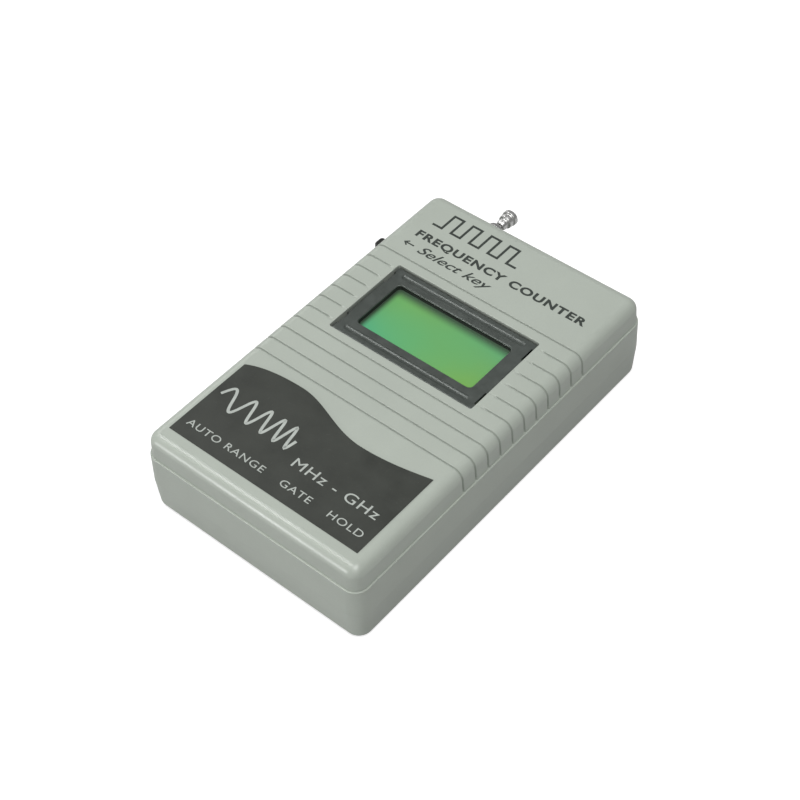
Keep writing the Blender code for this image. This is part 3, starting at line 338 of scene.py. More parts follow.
class Nodes:
    """A small helper that adds and links shader nodes."""

    def __init__(self, name):
        self.material = bpy.data.materials.new(name)
        self.material.use_nodes = True
        self.tree = self.material.node_tree
        self.shader = self.tree.nodes["Principled BSDF"]
        self.place = self.add("ShaderNodeTexCoord").outputs["Object"]

    def put(self, socket, value):
        """Links a socket to another, or sets it to a constant."""
        if isinstance(value, bpy.types.NodeSocket):
            self.tree.links.new(value, socket)
        else:
            socket.default_value = value

    def add(self, kind, inputs=None, **settings):
        node = self.tree.nodes.new(kind)
        for key, value in settings.items():
            setattr(node, key, value)
        for key, value in (inputs or {}).items():
            self.put(node.inputs[key], value)
        return node

    def noise(self, scale, detail=3.0, roughness=0.5, vector=None):
        where = vector or self.place
        inputs = {"Vector": where, "Scale": scale, "Detail": detail, "Roughness": roughness}
        return self.add("ShaderNodeTexNoise", inputs).outputs["Fac"]

    def spread(self, value, low, high, start=0.3, end=0.7):
        """Maps a noise value onto a range."""
        inputs = {"Value": value, "From Min": start, "From Max": end, "To Min": low, "To Max": high}
        return self.add("ShaderNodeMapRange", inputs).outputs["Result"]

    def blend(self, factor, first, second):
        """Mixes two colours, each a socket or a plain (r, g, b)."""
        inputs = {0: factor}
        for index, colour in ((6, first), (7, second)):
            plain = isinstance(colour, tuple)
            inputs[index] = (*colour, 1.0) if plain else colour
        return self.add("ShaderNodeMix", inputs, data_type="RGBA").outputs[2]

    def math(self, operation, first, second):
        inputs = {0: first, 1: second}
        return self.add("ShaderNodeMath", inputs, operation=operation).outputs[0]

    def smooth(self, value):
        """Eases a value between 0 and 1."""
        inputs = {"Value": value, "From Min": 0.0, "From Max": 1.0, "To Min": 0.0, "To Max": 1.0}
        node = self.add("ShaderNodeMapRange", inputs, interpolation_type="SMOOTHSTEP")
        return node.outputs["Result"]

    def relief(self, height, distance, strength=1.0, below=None):
        inputs = {"Height": height, "Distance": distance, "Strength": strength}
        if below is not None:
            inputs["Normal"] = below
        return self.add("ShaderNodeBump", inputs).outputs["Normal"]

    def feed(self, **sockets):
        """Links or sets the shader's own sockets; a name's underscores stand for spaces."""
        for key, value in sockets.items():
            self.put(self.shader.inputs[key.replace("_", " ")], value)
        return self.material


def tint(colour, factor):
    """The colour made lighter or darker."""
    return tuple(min(1.0, channel * factor) for channel in colour)


def surface(name, colour, roughness, mottle, grain, mottle_size=6.0):
    """A finish whose colour, gloss and relief vary over the piece. Grain and mottle size are in
    millimetres."""
    nodes = Nodes(name)
    patches = nodes.noise(1000.0 / mottle_size, 4.0, 0.6)
    base = nodes.blend(nodes.spread(patches, 0, 1), tint(colour, 1 - mottle), tint(colour, 1 + mottle))
    wear = nodes.noise(400.0 / mottle_size, 5.0, 0.65)
    gloss = nodes.spread(wear, roughness - GLOSS_SPREAD, roughness + GLOSS_SPREAD)
    texture = nodes.noise(1000.0 / GRAIN_SIZE, 2.0, 0.5)
    return nodes.feed(
        Base_Color=base, Roughness=gloss, Normal=nodes.relief(texture, grain * MM)
    )


def case_plastic():
    """Moulded grey-green plastic: a fine spark-eroded grain, faint flow marks, cloudy gloss, and
    painted shade from ambient occlusion in the grooves and corners above the parting line."""
    nodes = Nodes("case_plastic")
    clouds = nodes.noise(45.0, 4.0, 0.6)
    specks = nodes.noise(2600.0, 2.0, 0.5)
    base = nodes.blend(nodes.spread(clouds, 0, 1), tint(PLASTIC, 0.965), tint(PLASTIC, 1.03))
    base = nodes.blend(nodes.spread(specks, 0.0, 0.22), base, tint(PLASTIC, SPECK_SHADE))
    # painted shade: darker where ambient occlusion finds grooves and inner corners, but not just above
    # the parting line
    height = nodes.add("ShaderNodeSeparateXYZ", {"Vector": nodes.place}).outputs["Z"]
    below = nodes.spread(height, 1, 0, PARTING + LEDGE_UNSHADED, PARTING + 2 * LEDGE_UNSHADED)
    occlusion = nodes.add("ShaderNodeAmbientOcclusion", {"Distance": OCCLUSION_REACH}).outputs["AO"]
    unshaded = nodes.math("MAXIMUM", below, nodes.spread(occlusion, 0, 1, 0.3, 0.95))
    base = nodes.blend(unshaded, tint(PLASTIC, PAINTED_SHADE_TONE), base)
    gloss = nodes.spread(nodes.noise(70.0, 5.0, 0.6), 0.28, 0.37)
    grain = nodes.noise(5200.0, 2.0, 0.6)
    swell = nodes.noise(60.0, 2.0, 0.4)
    soft = nodes.relief(swell, PLASTIC_SWELL, 0.35)
    return nodes.feed(
        Base_Color=base, Roughness=gloss, Normal=nodes.relief(grain, PLASTIC_GRAIN, 0.8, soft),
        IOR=PLASTIC_IOR,
    )


def label_film():
    """Dark satin film with faint smears and specks of lint."""
    nodes = Nodes("label_film")
    smears = nodes.noise(120.0, 6.0, 0.65)
    lint = nodes.noise(1400.0, 3.0, 0.7)
    base = nodes.blend(nodes.spread(smears, 0, 1), FILM_DARK, FILM_PALE)
    base = nodes.blend(nodes.spread(lint, 0.0, 0.35, 0.62, 0.8), base, FILM_LINT)
    gloss = nodes.spread(smears, 0.42, 0.56)
    peel = nodes.noise(900.0, 2.0, 0.5)
    return nodes.feed(
        Base_Color=base, Roughness=gloss, Normal=nodes.relief(peel, FILM_PEEL, 0.6),
        IOR=PLASTIC_IOR,
    )


def display_cell():
    """The lit face of the display: green that turns bluer and yellower across it, with a painted
    shadow of the frame along its left and far edges."""
    nodes = Nodes("display_cell")
    split = nodes.add("ShaderNodeSeparateXYZ", {"Vector": nodes.place})
    low = VIEW_CENTRE - VIEW_HALF
    high = VIEW_CENTRE + VIEW_HALF
    across = nodes.spread(split.outputs["X"], 0, 1, low.x, high.x)
    along = nodes.spread(split.outputs["Y"], 0, 1, low.y, high.y)
    near = nodes.blend(across, CELL_NEAR_LEFT, CELL_NEAR_RIGHT)
    far = nodes.blend(across, CELL_FAR_LEFT, CELL_FAR_RIGHT)
    base = nodes.blend(along, near, far)
    clouds = nodes.noise(90.0, 2.0, 0.5)
    base = nodes.blend(nodes.spread(clouds, 0.0, 0.3), base, CELL_CLOUD)
    # painted shadow of the frame along the left and far edges
    left = nodes.spread(split.outputs["X"], 0, 1, low.x, low.x + SHADE_REACH[0])
    top = nodes.spread(split.outputs["Y"], 0, 1, high.y, high.y - SHADE_REACH[1])
    lit = nodes.math("MULTIPLY", nodes.smooth(left), nodes.smooth(top))
    base = nodes.blend(lit, CELL_SHADE, base)
    gloss = nodes.spread(nodes.noise(200.0, 3.0, 0.5), 0.10, 0.2)
    return nodes.feed(
        Base_Color=base, Emission_Color=base, Emission_Strength=CELL_GLOW, Roughness=gloss,
        IOR=PLASTIC_IOR, Coat_Weight=0.4, Coat_Roughness=0.05,
    )


def circuit_board():
    """Green solder mask over copper tracks, with the weave of the board under it."""
    nodes = Nodes("circuit_board")
    tracks = nodes.add(
        "ShaderNodeTexBrick",
        {"Vector": nodes.place, "Scale": 260.0, "Mortar Size": 0.03, "Mortar Smooth": 0.1,
         "Brick Width": 1.4, "Row Height": 0.33},
    )
    weave = nodes.noise(1800.0, 2.0, 0.5)
    mask = nodes.blend(nodes.spread(weave, 0, 1), BOARD_DARK, BOARD_PALE)
    base = nodes.blend(tracks.outputs["Fac"], mask, BOARD_TRACK)
    gloss = nodes.spread(weave, 0.28, 0.4)
    return nodes.feed(
        Base_Color=base, Roughness=gloss,
        Normal=nodes.relief(tracks.outputs["Fac"], TRACK_HEIGHT),
    )


def brushed(name, colour, roughness, lines=0.0006, metallic=1.0):
    """Turned or drawn metal with fine lines round it and small tarnish clouds."""
    nodes = Nodes(name)
    stretch = nodes.add(
        "ShaderNodeMapping", {"Vector": nodes.place, "Scale": (300.0, 9000.0, 300.0)}
    ).outputs["Vector"]
    marks = nodes.noise(1.0, 3.0, 0.6, stretch)
    tarnish = nodes.noise(500.0, 4.0, 0.6)
    base = nodes.blend(nodes.spread(tarnish, 0, 1), tint(colour, 0.93), tint(colour, 1.04))
    gloss = nodes.spread(tarnish, roughness - 0.03, roughness + 0.05)
    return nodes.feed(
        Base_Color=base, Roughness=gloss, Metallic=metallic,
        Normal=nodes.relief(marks, lines * MM, 0.5),
    )


def bezel_metal():
    """Blackened sheet steel, satin, a little lighter where it is rubbed."""
    nodes = Nodes("bezel_metal")
    rubs = nodes.noise(300.0, 5.0, 0.65)
    base = nodes.blend(nodes.spread(rubs, 0, 1), BEZEL_DARK, BEZEL_RUBBED)
    gloss = nodes.spread(nodes.noise(800.0, 3.0, 0.5), 0.30, 0.42)
    return nodes.feed(
        Base_Color=base, Roughness=gloss, Metallic=0.25,
        Normal=nodes.relief(nodes.noise(3000.0, 2.0, 0.5), BEZEL_GRAIN, 0.6),
    )


# colour, roughness, mottle, grain and, where it isn't the usual one, the size of the mottle
SURFACES = {
    "diffuser": ((0.62, 0.74, 0.5), 0.5, 0.05, 0.01),
    "chip_plastic": ((0.022, 0.022, 0.023), 0.55, 0.2, 0.02),
    "silicone": ((0.32, 0.27, 0.26), 0.65, 0.12, 0.02),
    "black_plastic": ((0.022, 0.024, 0.022), 0.42, 0.15, 0.012),
    "battery_wrap": ((0.035, 0.036, 0.040), 0.3, 0.15, 0.006),
    "capacitor_sleeve": ((0.02, 0.03, 0.12), 0.32, 0.12, 0.004),
    "red_insulation": ((0.42, 0.02, 0.015), 0.45, 0.1, 0.008),
    "black_insulation": ((0.02, 0.02, 0.02), 0.45, 0.15, 0.008),
    "dark_ink": ((0.028, 0.036, 0.030), 0.6, 0.2, 0.006, 1.5),
    "pale_ink": ((0.40, 0.43, 0.40), 0.5, 0.1, 0.006, 1.5),
}
# colour, roughness and, for plating, the height of its lines and how metallic it is
METALS = {
    "chrome": ((0.72, 0.72, 0.71), 0.3, 0.0003, 0.85),
    "brass": ((0.68, 0.52, 0.25), 0.28),
    "steel": ((0.52, 0.52, 0.53), 0.32),
}
MATERIALS = {
    "case_plastic": case_plastic(),
    "label_film": label_film(),
    "bezel_metal": bezel_metal(),
    "display_glass": display_cell(),
    "circuit_board": circuit_board(),
    **{name: surface(name, *finish) for name, finish in SURFACES.items()},
    **{name: brushed(name, *finish) for name, finish in METALS.items()},
}


# ---- upper shell ----
CEILING_ROUND = 1.2 * MM
WINDOW_CORNER = 0.55 * MM
WINDOW_EDGE = ((-0.14 * MM, 0.0), (-0.05 * MM, -0.03 * MM), (0.01 * MM, -0.1 * MM))
DISPLAY_POST = 2.0 * MM
DISPLAY_POST_BORE = 1.0 * MM
DISPLAY_POST_DEPTH = 4.0 * MM
PILLAR = 2.4 * MM
PILLAR_FOOT = 12.3 * MM
PILLAR_BORE = 1.4 * MM
PILLAR_DEPTH = 7.0 * MM
WHIP_HOLE = 2.4 * MM
KEY_SLOT_HALF = (1.45 * MM, 3.0 * MM)
KEY_SLOT_CORNER = 0.8 * MM


def groove_depth(distance):
    """Depth of a groove at this distance from its middle: a flat floor and two round flanks."""
    if distance >= GROOVE_HALF:
        return 0.0
    share = max(0.0, (distance - GROOVE_FLOOR) / (GROOVE_HALF - GROOVE_FLOOR))
    return GROOVE_DEPTH * (1 - share * share * (3 - 2 * share))


def split_at(bm, axis, place):
    """Cuts a loop through the mesh at this place on the x or y axis."""
    normal = Vector((axis == "x", axis == "y", 0.0))
    geometry = bm.verts[:] + bm.edges[:] + bm.faces[:]
    bmesh.ops.bisect_plane(
        bm, geom=geometry, dist=TINY, plane_co=normal * place, plane_no=normal
    )


def press_grooves(bm):
    """Cuts loops along each groove and moves them in along the surface's own normal."""
    span = GROOVE_HALF - GROOVE_FLOOR
    flank = [GROOVE_FLOOR + span * step / FLANK_STEPS for step in range(FLANK_STEPS + 1)]
    offsets = [GROOVE_HOLD, *flank]
    for index in range(GROOVE_COUNT):
        middle = GROOVE_FIRST_Y - index * GROOVE_PITCH
        for offset in offsets:
            split_at(bm, "y", middle + offset)
            split_at(bm, "y", middle - offset)
    for step in range(RAMP_STEPS + 1):
        end = GROOVE_INNER_END + GROOVE_RAMP * step / RAMP_STEPS
        split_at(bm, "x", end)
        split_at(bm, "x", -end)
    bm.normal_update()
    moves = []
    for vert in bm.verts:
        index = round((GROOVE_FIRST_Y - vert.co.y) / GROOVE_PITCH)
        if not 0 <= index < GROOVE_COUNT:
            continue
        depth = groove_depth(abs(vert.co.y - GROOVE_FIRST_Y + index * GROOVE_PITCH))
        if index in GROOVES_BESIDE_WINDOW:
            share = (abs(vert.co.x) - GROOVE_INNER_END) / GROOVE_RAMP
            depth *= math.sin(math.pi / 2 * min(1.0, max(0.0, share)))
        way = Vector((vert.normal.x, 0.0, max(0.0, vert.normal.z)))
        if depth and way.length:
            moves.append((vert, way.normalized() * depth))
    for vert, move in moves:
        vert.co -= move


def build_upper_shell():
    """The upper case half: grooved skin, hollow, rebate for the lower lip, posts and openings."""
    half = (SIDE, BACK)
    rim = round_down(PARTING, RIM_EDGE, RIM_STEP, 3)
    crown = round_up(TOP, SHOULDER, RIM_STEP + DRAFT, SHOULDER_STEPS)
    bm = block(rim + crown, half, CORNER)
    press_grooves(bm)
    shell = add_mesh("upper_shell", bm)
    inset = LIP_INSET + LIP_THICKNESS + SEAM
    ceiling = TOP - WALL
    hollow = [(PARTING - WALL, inset), *round_up(ceiling, CEILING_ROUND, inset, 4)]
    carve(shell, block(hollow, half, INNER_CORNER))
    rebate = LIP_INSET - SEAM
    levels = [(PARTING - WALL, rebate), (PARTING + LIP_HEIGHT + SEAM, rebate)]
    carve(shell, block(levels, half, CORNER))
    add_upper_posts(shell, ceiling)
    edge = [(TOP + lift, inward) for lift, inward in WINDOW_EDGE]
    opening = [(ceiling - WALL, 0.0), *edge, (TOP + WALL, edge[-1][1])]
    carve(shell, block(opening, WINDOW_HALF, WINDOW_CORNER, WINDOW_CENTRE, 5))
    open_walls(shell)
    shade(shell)
    add_piece(shell, "case", MATERIALS["case_plastic"], "case_plastic", "top_shell")


def add_upper_posts(shell, ceiling):
    """The posts for the display board and the pillars that the case screws go up into."""
    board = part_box("display_board")[1].z
    top = ceiling + OVERLAP
    carve(shell, tubes(DISPLAY_SCREWS, DISPLAY_POST, board + SEAM, top), "UNION")
    carve(shell, tubes(CASE_SCREWS, PILLAR, PILLAR_FOOT, top), "UNION")
    carve(shell, tubes(DISPLAY_SCREWS, DISPLAY_POST_BORE, board, board + DISPLAY_POST_DEPTH))
    carve(shell, tubes(CASE_SCREWS, PILLAR_BORE, PILLAR_FOOT - SEAM, PILLAR_FOOT + PILLAR_DEPTH))


def open_walls(shell):
    """The round hole for the whip in the back wall and the key's slot in the left wall."""
    length = 4 * WALL
    hole = lathe([(0.0, 0.0), (WHIP_HOLE, 0.0), (WHIP_HOLE, length), (0.0, length)])
    hole.transform(along_y(BACK - length / 2))
    carve(shell, hole)
    levels = [(-SIDE - WALL, 0.0), (-SIDE + 2 * WALL, 0.0)]
    slot = block(levels, KEY_SLOT_HALF, KEY_SLOT_CORNER, steps=6)
    turn = Matrix.Rotation(math.pi / 2, 4, "Y")
    slot.transform(Matrix.Translation((0, KEY_Y, KEY_Z)) @ turn)
    carve(shell, slot)


# ---- lower shell ----
FLOOR_ROUND = 0.8 * MM
BAY_WALL_Y = (-27.4 * MM, -26.0 * MM)
BAY_WALL_TOP = 16.0 * MM
LEAD_NOTCH_X = (18.0 * MM, 27.0 * MM)
LEAD_NOTCH_Z = (10.0 * MM, 18.0 * MM)
BOARD_POST = 2.4 * MM
BOARD_POST_BORE = 1.0 * MM
BOARD_POST_DEPTH = 4.9 * MM
FOOT_POST = 3.1 * MM
FOOT_POST_TOP = 12.0 * MM
FOOT_BORE = 1.5 * MM
FOOT_BORE_TOP = 16.0 * MM
COUNTERBORE = 2.6 * MM
COUNTERBORE_DEPTH = 3.6 * MM
DOORWAY_CORNER = 0.6 * MM
DOORWAY_EDGE = 0.15 * MM
CUT_CLEAR = 0.01 * MM
TONGUE_HALF = 2.5 * MM
TONGUE_PLAY = 0.3 * MM
TONGUE_BOTTOM = 1.1 * MM
TONGUE_REACH = 2.6 * MM
TONGUE_GAP = 0.1 * MM
DOOR_CORNER = 0.5 * MM
DOOR_EDGE = 0.25 * MM
DISH_RADIUS = 6.0 * MM
DISH_DEPTH = 0.6 * MM
GRIP_COUNT = 5
GRIP_PITCH = 1.8 * MM
GRIP_START = 13.5 * MM
GRIP_HALF = (0.35 * MM, 5.0 * MM)
GRIP_DEPTH = 0.3 * MM


def build_lower_shell():
    """The lower case half: bulged walls, inner lip, bay wall, posts and openings."""
    half = (SIDE, BACK)
    below = (BASE_INSET + CREASE_BULGE) / (CREASE - BASE_ROUND)
    above = CREASE_BULGE / (PARTING - CREASE)
    outer = [
        *round_down(0.0, BASE_ROUND, BASE_INSET, 8),
        (CREASE - CREASE_SOFT, below * CREASE_SOFT - CREASE_BULGE),
        (CREASE + CREASE_SOFT, above * CREASE_SOFT - CREASE_BULGE),
        *round_up(PARTING, LEDGE_EDGE, 0.0, 3),
    ]
    shell = add_mesh("lower_shell", block(outer, half, CORNER))
    lip = [(PARTING - WALL, LIP_INSET), (PARTING + LIP_HEIGHT, LIP_INSET)]
    carve(shell, block(lip, half, CORNER), "UNION")
    inner = LIP_INSET + LIP_THICKNESS
    hollow = [*round_down(WALL, FLOOR_ROUND, inner + BASE_INSET, 4), (TOP, inner)]
    carve(shell, block(hollow, half, INNER_CORNER))
    add_lower_walls(shell)
    add_lower_posts(shell)
    open_floor(shell)
    open_walls(shell)
    shade(shell)
    add_piece(shell, "case", MATERIALS["case_plastic"], "case_plastic", "bottom_shell")


def add_lower_walls(shell):
    """The wall between the battery bay and the board, with its notch for the leads."""
    reach = SIDE - WALL
    near, far = BAY_WALL_Y
    wall = bar((-reach, near, WALL - OVERLAP), (reach, far, BAY_WALL_TOP))
    carve(shell, wall, "UNION")
    left, right = LEAD_NOTCH_X
    bottom, top = LEAD_NOTCH_Z
    carve(shell, bar((left, near - WALL, bottom), (right, far + WALL, top)))


def add_lower_posts(shell):
    """The posts under the board and the sunk, bored posts for the case screws."""
    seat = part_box("main_board")[0].z - SEAM
    foot = WALL - OVERLAP
    carve(shell, tubes(BOARD_SCREWS, BOARD_POST, foot, seat), "UNION")
    carve(shell, tubes(CASE_SCREWS, FOOT_POST, foot, FOOT_POST_TOP), "UNION")
    carve(shell, tubes(BOARD_SCREWS, BOARD_POST_BORE, seat - BOARD_POST_DEPTH, seat + MM))
    carve(shell, tubes(CASE_SCREWS, COUNTERBORE, -WALL, COUNTERBORE_DEPTH))
    carve(shell, tubes(CASE_SCREWS, FOOT_BORE, -WALL, FOOT_BORE_TOP))


def open_floor(shell):
    """The battery door's opening, with a pocket for each tongue."""
    half = (DOOR_HIGH.x + SEAM, (DOOR_HIGH.y - DOOR_LOW.y) / 2 + SEAM)
    centre = (0.0, (DOOR_HIGH.y + DOOR_LOW.y) / 2)
    levels = [
        (-WALL, -DOORWAY_EDGE),
        (-CUT_CLEAR, -DOORWAY_EDGE),
        (DOORWAY_EDGE, 0.0),
        (2 * WALL, 0.0),
    ]
    carve(shell, block(levels, half, DOORWAY_CORNER, centre, 6))
    reach = TONGUE_HALF + TONGUE_PLAY
    for y in TONGUE_Y:
        low = (DOOR_LOW.x - SEAM, y - reach, TONGUE_BOTTOM - TONGUE_PLAY)
        high = (-DOOR_HIGH.x + OVERLAP, y + reach, 2 * WALL)
        carve(shell, bar(low, high))


def build_door():
    """The battery door: a panel with two tongues, a thumb dish and a row of grip grooves."""
    half = (DOOR_HIGH.x, (DOOR_HIGH.y - DOOR_LOW.y) / 2)
    centre = (0.0, (DOOR_HIGH.y + DOOR_LOW.y) / 2)
    levels = round_down(DOOR_LOW.z, DOOR_EDGE, 0.0, 3) + [(DOOR_HIGH.z, 0.0)]
    door = add_mesh("door_panel", block(levels, half, DOOR_CORNER, centre, 6))
    for y in TONGUE_Y:
        low = (DOOR_LOW.x, y - TONGUE_HALF, TONGUE_BOTTOM)
        high = (-DOOR_HIGH.x + TONGUE_REACH, y + TONGUE_HALF, DOOR_HIGH.z - TONGUE_GAP)
        carve(door, bar(low, high), "UNION")
    dish = bmesh.new()
    place = (DOOR_HIGH.x - DISH_RADIUS, centre[1], DOOR_LOW.z + DISH_DEPTH - DISH_RADIUS)
    bmesh.ops.create_uvsphere(
        dish, u_segments=48, v_segments=32, radius=DISH_RADIUS,
        matrix=Matrix.Translation(place),
    )
    carve(door, dish)
    half_width, half_length = GRIP_HALF
    for index in range(GRIP_COUNT):
        x = DOOR_HIGH.x - GRIP_START - index * GRIP_PITCH
        low = (x - half_width, centre[1] - half_length, DOOR_LOW.z - MM)
        high = (x + half_width, centre[1] + half_length, DOOR_LOW.z + GRIP_DEPTH)
        carve(door, bar(low, high))
    shade(door)
    add_piece(door, "battery_door", MATERIALS["case_plastic"], "case_plastic", "battery_door")


# ---- label and print ----
PRINT_HEIGHT = 0.02 * MM
FILM_TOP = LABEL_HIGH.z - PRINT_HEIGHT
FILM_EDGE = 0.02 * MM
WAVE_RIGHT = (34.1 * MM, (-4.0 * MM, -0.9 * MM))
WAVE_TROUGH = (10.0 * MM, 31.1 * MM, 9.0 * MM)
WAVE_CREST = (-14.0 * MM, 36.6 * MM, 8.0 * MM)
WAVE_LEFT = (33.4 * MM, (3.5 * MM, 2.0 * MM))
PULSE_X = (-27.0 * MM, 1.7 * MM)
PULSE_Y = (46.0 * MM, 52.0 * MM)
PULSE_COUNT = 4
PULSE_WIDTH = 0.75 * MM
ARROW_X = (-28.4 * MM, -27.95 * MM, -27.3 * MM, -25.3 * MM)
ARROW_Y = 35.9 * MM
ARROW_HALF = 0.9 * MM
ARROW_WIDTH = 0.45 * MM
SINE_X = (-29.0 * MM, -3.4 * MM)
SINE_Y = -35.7 * MM
SINE_HEIGHT = 6.8 * MM
SINE_PERIODS = 5
SINE_WIDTH = 0.8 * MM
# name, words, ink, ends, baseline, height, surface, weight, slant, spacing
PRINTS = (
    ("title_print", "FREQUENCY COUNTER", "dark_ink",
     (-28.0 * MM, 28.5 * MM), 38.9 * MM, 3.3 * MM, TOP, 0.04, 0.0, 1.16),
    ("key_print", "Select key", "dark_ink",
     (-23.4 * MM, 1.0 * MM), 33.6 * MM, 3.9 * MM, TOP, 0.012, 0.35, 1.0),
    ("range_print", "MHz - GHz", "pale_ink",
     (0.5 * MM, 27.5 * MM), -42.2 * MM, 3.0 * MM, FILM_TOP, 0.0, 0.0, 1.1),
    ("function_print", "AUTO RANGE    GATE    HOLD", "pale_ink",
     (-29.0 * MM, 28.2 * MM), -48.4 * MM, 2.1 * MM, FILM_TOP, 0.0, 0.0, 1.12),
)


def build_label():
    """The dark film at the near end, with a wavy far edge."""
    curve = bpy.data.curves.new("label_panel", "CURVE")
    curve.dimensions = "2D"
    curve.fill_mode = "BOTH"
    curve.extrude = (FILM_TOP - TOP) / 2 - FILM_EDGE
    curve.bevel_depth = FILM_EDGE
    curve.offset = -FILM_EDGE
    curve.resolution_u = 32
    spline = curve.splines.new("BEZIER")
    left, right, near = LABEL_LOW.x, LABEL_HIGH.x, LABEL_LOW.y
    straight = (0, 0)
    knots = [
        ((left, near), straight, straight),
        ((right, near), straight, straight),
        ((right, -BACK + WAVE_RIGHT[0]), straight, WAVE_RIGHT[1]),
    ]
    for x, y, handle in (WAVE_TROUGH, WAVE_CREST):
        knots.append(((x, -BACK + y), (handle, 0), (-handle, 0)))
    knots.append(((left, -BACK + WAVE_LEFT[0]), WAVE_LEFT[1], straight))
    spline.bezier_points.add(len(knots) - 1)
    for knot, (place, before, after) in zip(spline.bezier_points, knots):
        knot.handle_left_type = "FREE" if any(before) else "VECTOR"
        knot.handle_right_type = "FREE" if any(after) else "VECTOR"
        knot.co = (*place, 0.0)
        knot.handle_left = (place[0] + before[0], place[1] + before[1], 0.0)
        knot.handle_right = (place[0] + after[0], place[1] + after[1], 0.0)
    spline.use_cyclic_u = True
    label = mesh_of(curve, Matrix.Translation((0, 0, (TOP + FILM_TOP) / 2)))
    shade(label)
    add_piece(label, "case", MATERIALS["label_film"], "label_film", "front_label")


def mesh_of(curve, place):
    """The solid of a curve or a text, as a mesh object of the same name."""
    name = curve.name
    source = bpy.data.objects.new("outline", curve)
    bpy.context.scene.collection.objects.link(source)
    bpy.context.view_layer.update()
    graph = bpy.context.evaluated_depsgraph_get()
    mesh = bpy.data.meshes.new_from_object(source.evaluated_get(graph))
    bpy.data.objects.remove(source)
    mesh.name = name
    mesh.transform(place)
    bm = bmesh.new()
    bm.from_mesh(mesh)
    bmesh.ops.remove_doubles(bm, verts=bm.verts, dist=TINY)
    bmesh.ops.recalc_face_normals(bm, faces=bm.faces)
    bm.to_mesh(mesh)
    bm.free()
    obj = bpy.data.objects.new(name, mesh)
    bpy.context.scene.collection.objects.link(obj)
    return obj


def print_text(name, words, ink, ends, baseline, height, surface_z, weight, slant, spacing):
    """Words printed between two ends, from a baseline up to this height."""
    curve = bpy.data.curves.new(name, "FONT")
    curve.body = words
    curve.fill_mode = "BOTH"
    curve.extrude = 0.5
    curve.offset = weight
    curve.shear = slant
    curve.space_character = spacing
    curve.resolution_u = 6
    letters = mesh_of(curve, Matrix())
    xs = [vert.co.x for vert in letters.data.vertices]
    ys = [vert.co.y for vert in letters.data.vertices]
    left, right = ends
    wide = (right - left) / (max(xs) - min(xs))
    tall = height / (max(ys) - min(ys))
    place = Matrix.Translation((left - min(xs) * wide, baseline - min(ys) * tall, surface_z))
    letters.data.transform(place @ Matrix.Diagonal((wide, tall, PRINT_HEIGHT, 1.0)))
    add_piece(letters, "case", MATERIALS[ink], "label_film")


def print_line(name, points, width, ink, surface_z):
    """A printed line of even width through points."""
    bm = bmesh.new()
    sides = []
    for index, point in enumerate(points):
        before = Vector(points[max(index - 1, 0)])
        after = Vector(points[min(index + 1, len(points) - 1)])
        here = Vector(point)
        arrive = (here - before).normalized() if index else (after - here).normalized()
        leave = (after - here).normalized() if index < len(points) - 1 else arrive
        mitre = (Vector((-arrive.y, arrive.x)) + Vector((-leave.y, leave.x))).normalized()
        reach = width / 2 / max(0.5, mitre.dot(Vector((-leave.y, leave.x))))
        sides.append((here + mitre * reach, here - mitre * reach))
    for low, high in ((-PRINT_HEIGHT / 2, False), (PRINT_HEIGHT / 2, True)):
        pairs = [
            [bm.verts.new((side.x, side.y, surface_z + low)) for side in pair] for pair in sides
        ]
        for first, second in zip(pairs, pairs[1:]):
            corners = (first[0], first[1], second[1], second[0])
            bm.faces.new(corners if high else corners[::-1])
    boundary = [edge for edge in bm.edges if edge.is_boundary]
    bmesh.ops.bridge_loops(bm, edges=boundary)
    bmesh.ops.recalc_face_normals(bm, faces=bm.faces)
    line = add_mesh(name, bm)
    add_piece(line, "case", MATERIALS[ink], "label_film")


def wave_points(ends, middle, height, periods, steps=120):
    """A sine wave whose pitch quickens from left to right."""
    left, right = ends
    points = []
    for step in range(steps + 1):
        share = step / steps
        phase = 2 * math.pi * periods * (0.55 * share + 0.45 * share * share)
        points.append((left + (right - left) * share, middle + height / 2 * math.sin(phase)))
    return points


def pulse_points(ends, levels, pulses):
    """A row of square pulses."""
    left, right = ends
    low, high = levels
    step = (right - left) / (2 * pulses + 1)
    points = [(left, low)]
    for index in range(pulses):
        start = left + step * (2 * index + 1)
        points += [(start, low), (start, high), (start + step, high), (start + step, low)]
    return [*points, (right, low)]


def build_print():
    """The dark print on the case and the pale print on the film."""
    pulses = pulse_points(PULSE_X, PULSE_Y, PULSE_COUNT)
    print_line("pulse_mark", pulses, PULSE_WIDTH, "dark_ink", TOP)
    tip, start, barb, tail = ARROW_X
    shaft = [(start, ARROW_Y), (tail, ARROW_Y)]
    print_line("arrow_shaft", shaft, ARROW_WIDTH, "dark_ink", TOP)
    head = [(barb, ARROW_Y + ARROW_HALF), (tip, ARROW_Y), (barb, ARROW_Y - ARROW_HALF)]
    print_line("arrow_head", head, ARROW_WIDTH, "dark_ink", TOP)
    sine = wave_points(SINE_X, SINE_Y, SINE_HEIGHT, SINE_PERIODS)
    print_line("wave_mark", sine, SINE_WIDTH, "pale_ink", FILM_TOP)
    for entry in PRINTS:
        print_text(*entry)


# ---- display ----
BEZEL_EDGE = 0.45 * MM
BEZEL_CORNER = 0.5 * MM
BEZEL_INNER_EDGE = 0.1 * MM
BEZEL_INNER_CORNER = 0.7 * MM
VIEW_EDGE = (
    (-0.3 * MM, 0.0),
    (-0.18 * MM, -0.03 * MM),
    (-0.07 * MM, -0.12 * MM),
    (0.01 * MM, -0.28 * MM),
)
NOTCH_CORNER = 0.15 * MM
CHANNEL_STEPS = 24
CELL_CORNER = 0.3 * MM
CELL_EDGE = 0.1 * MM


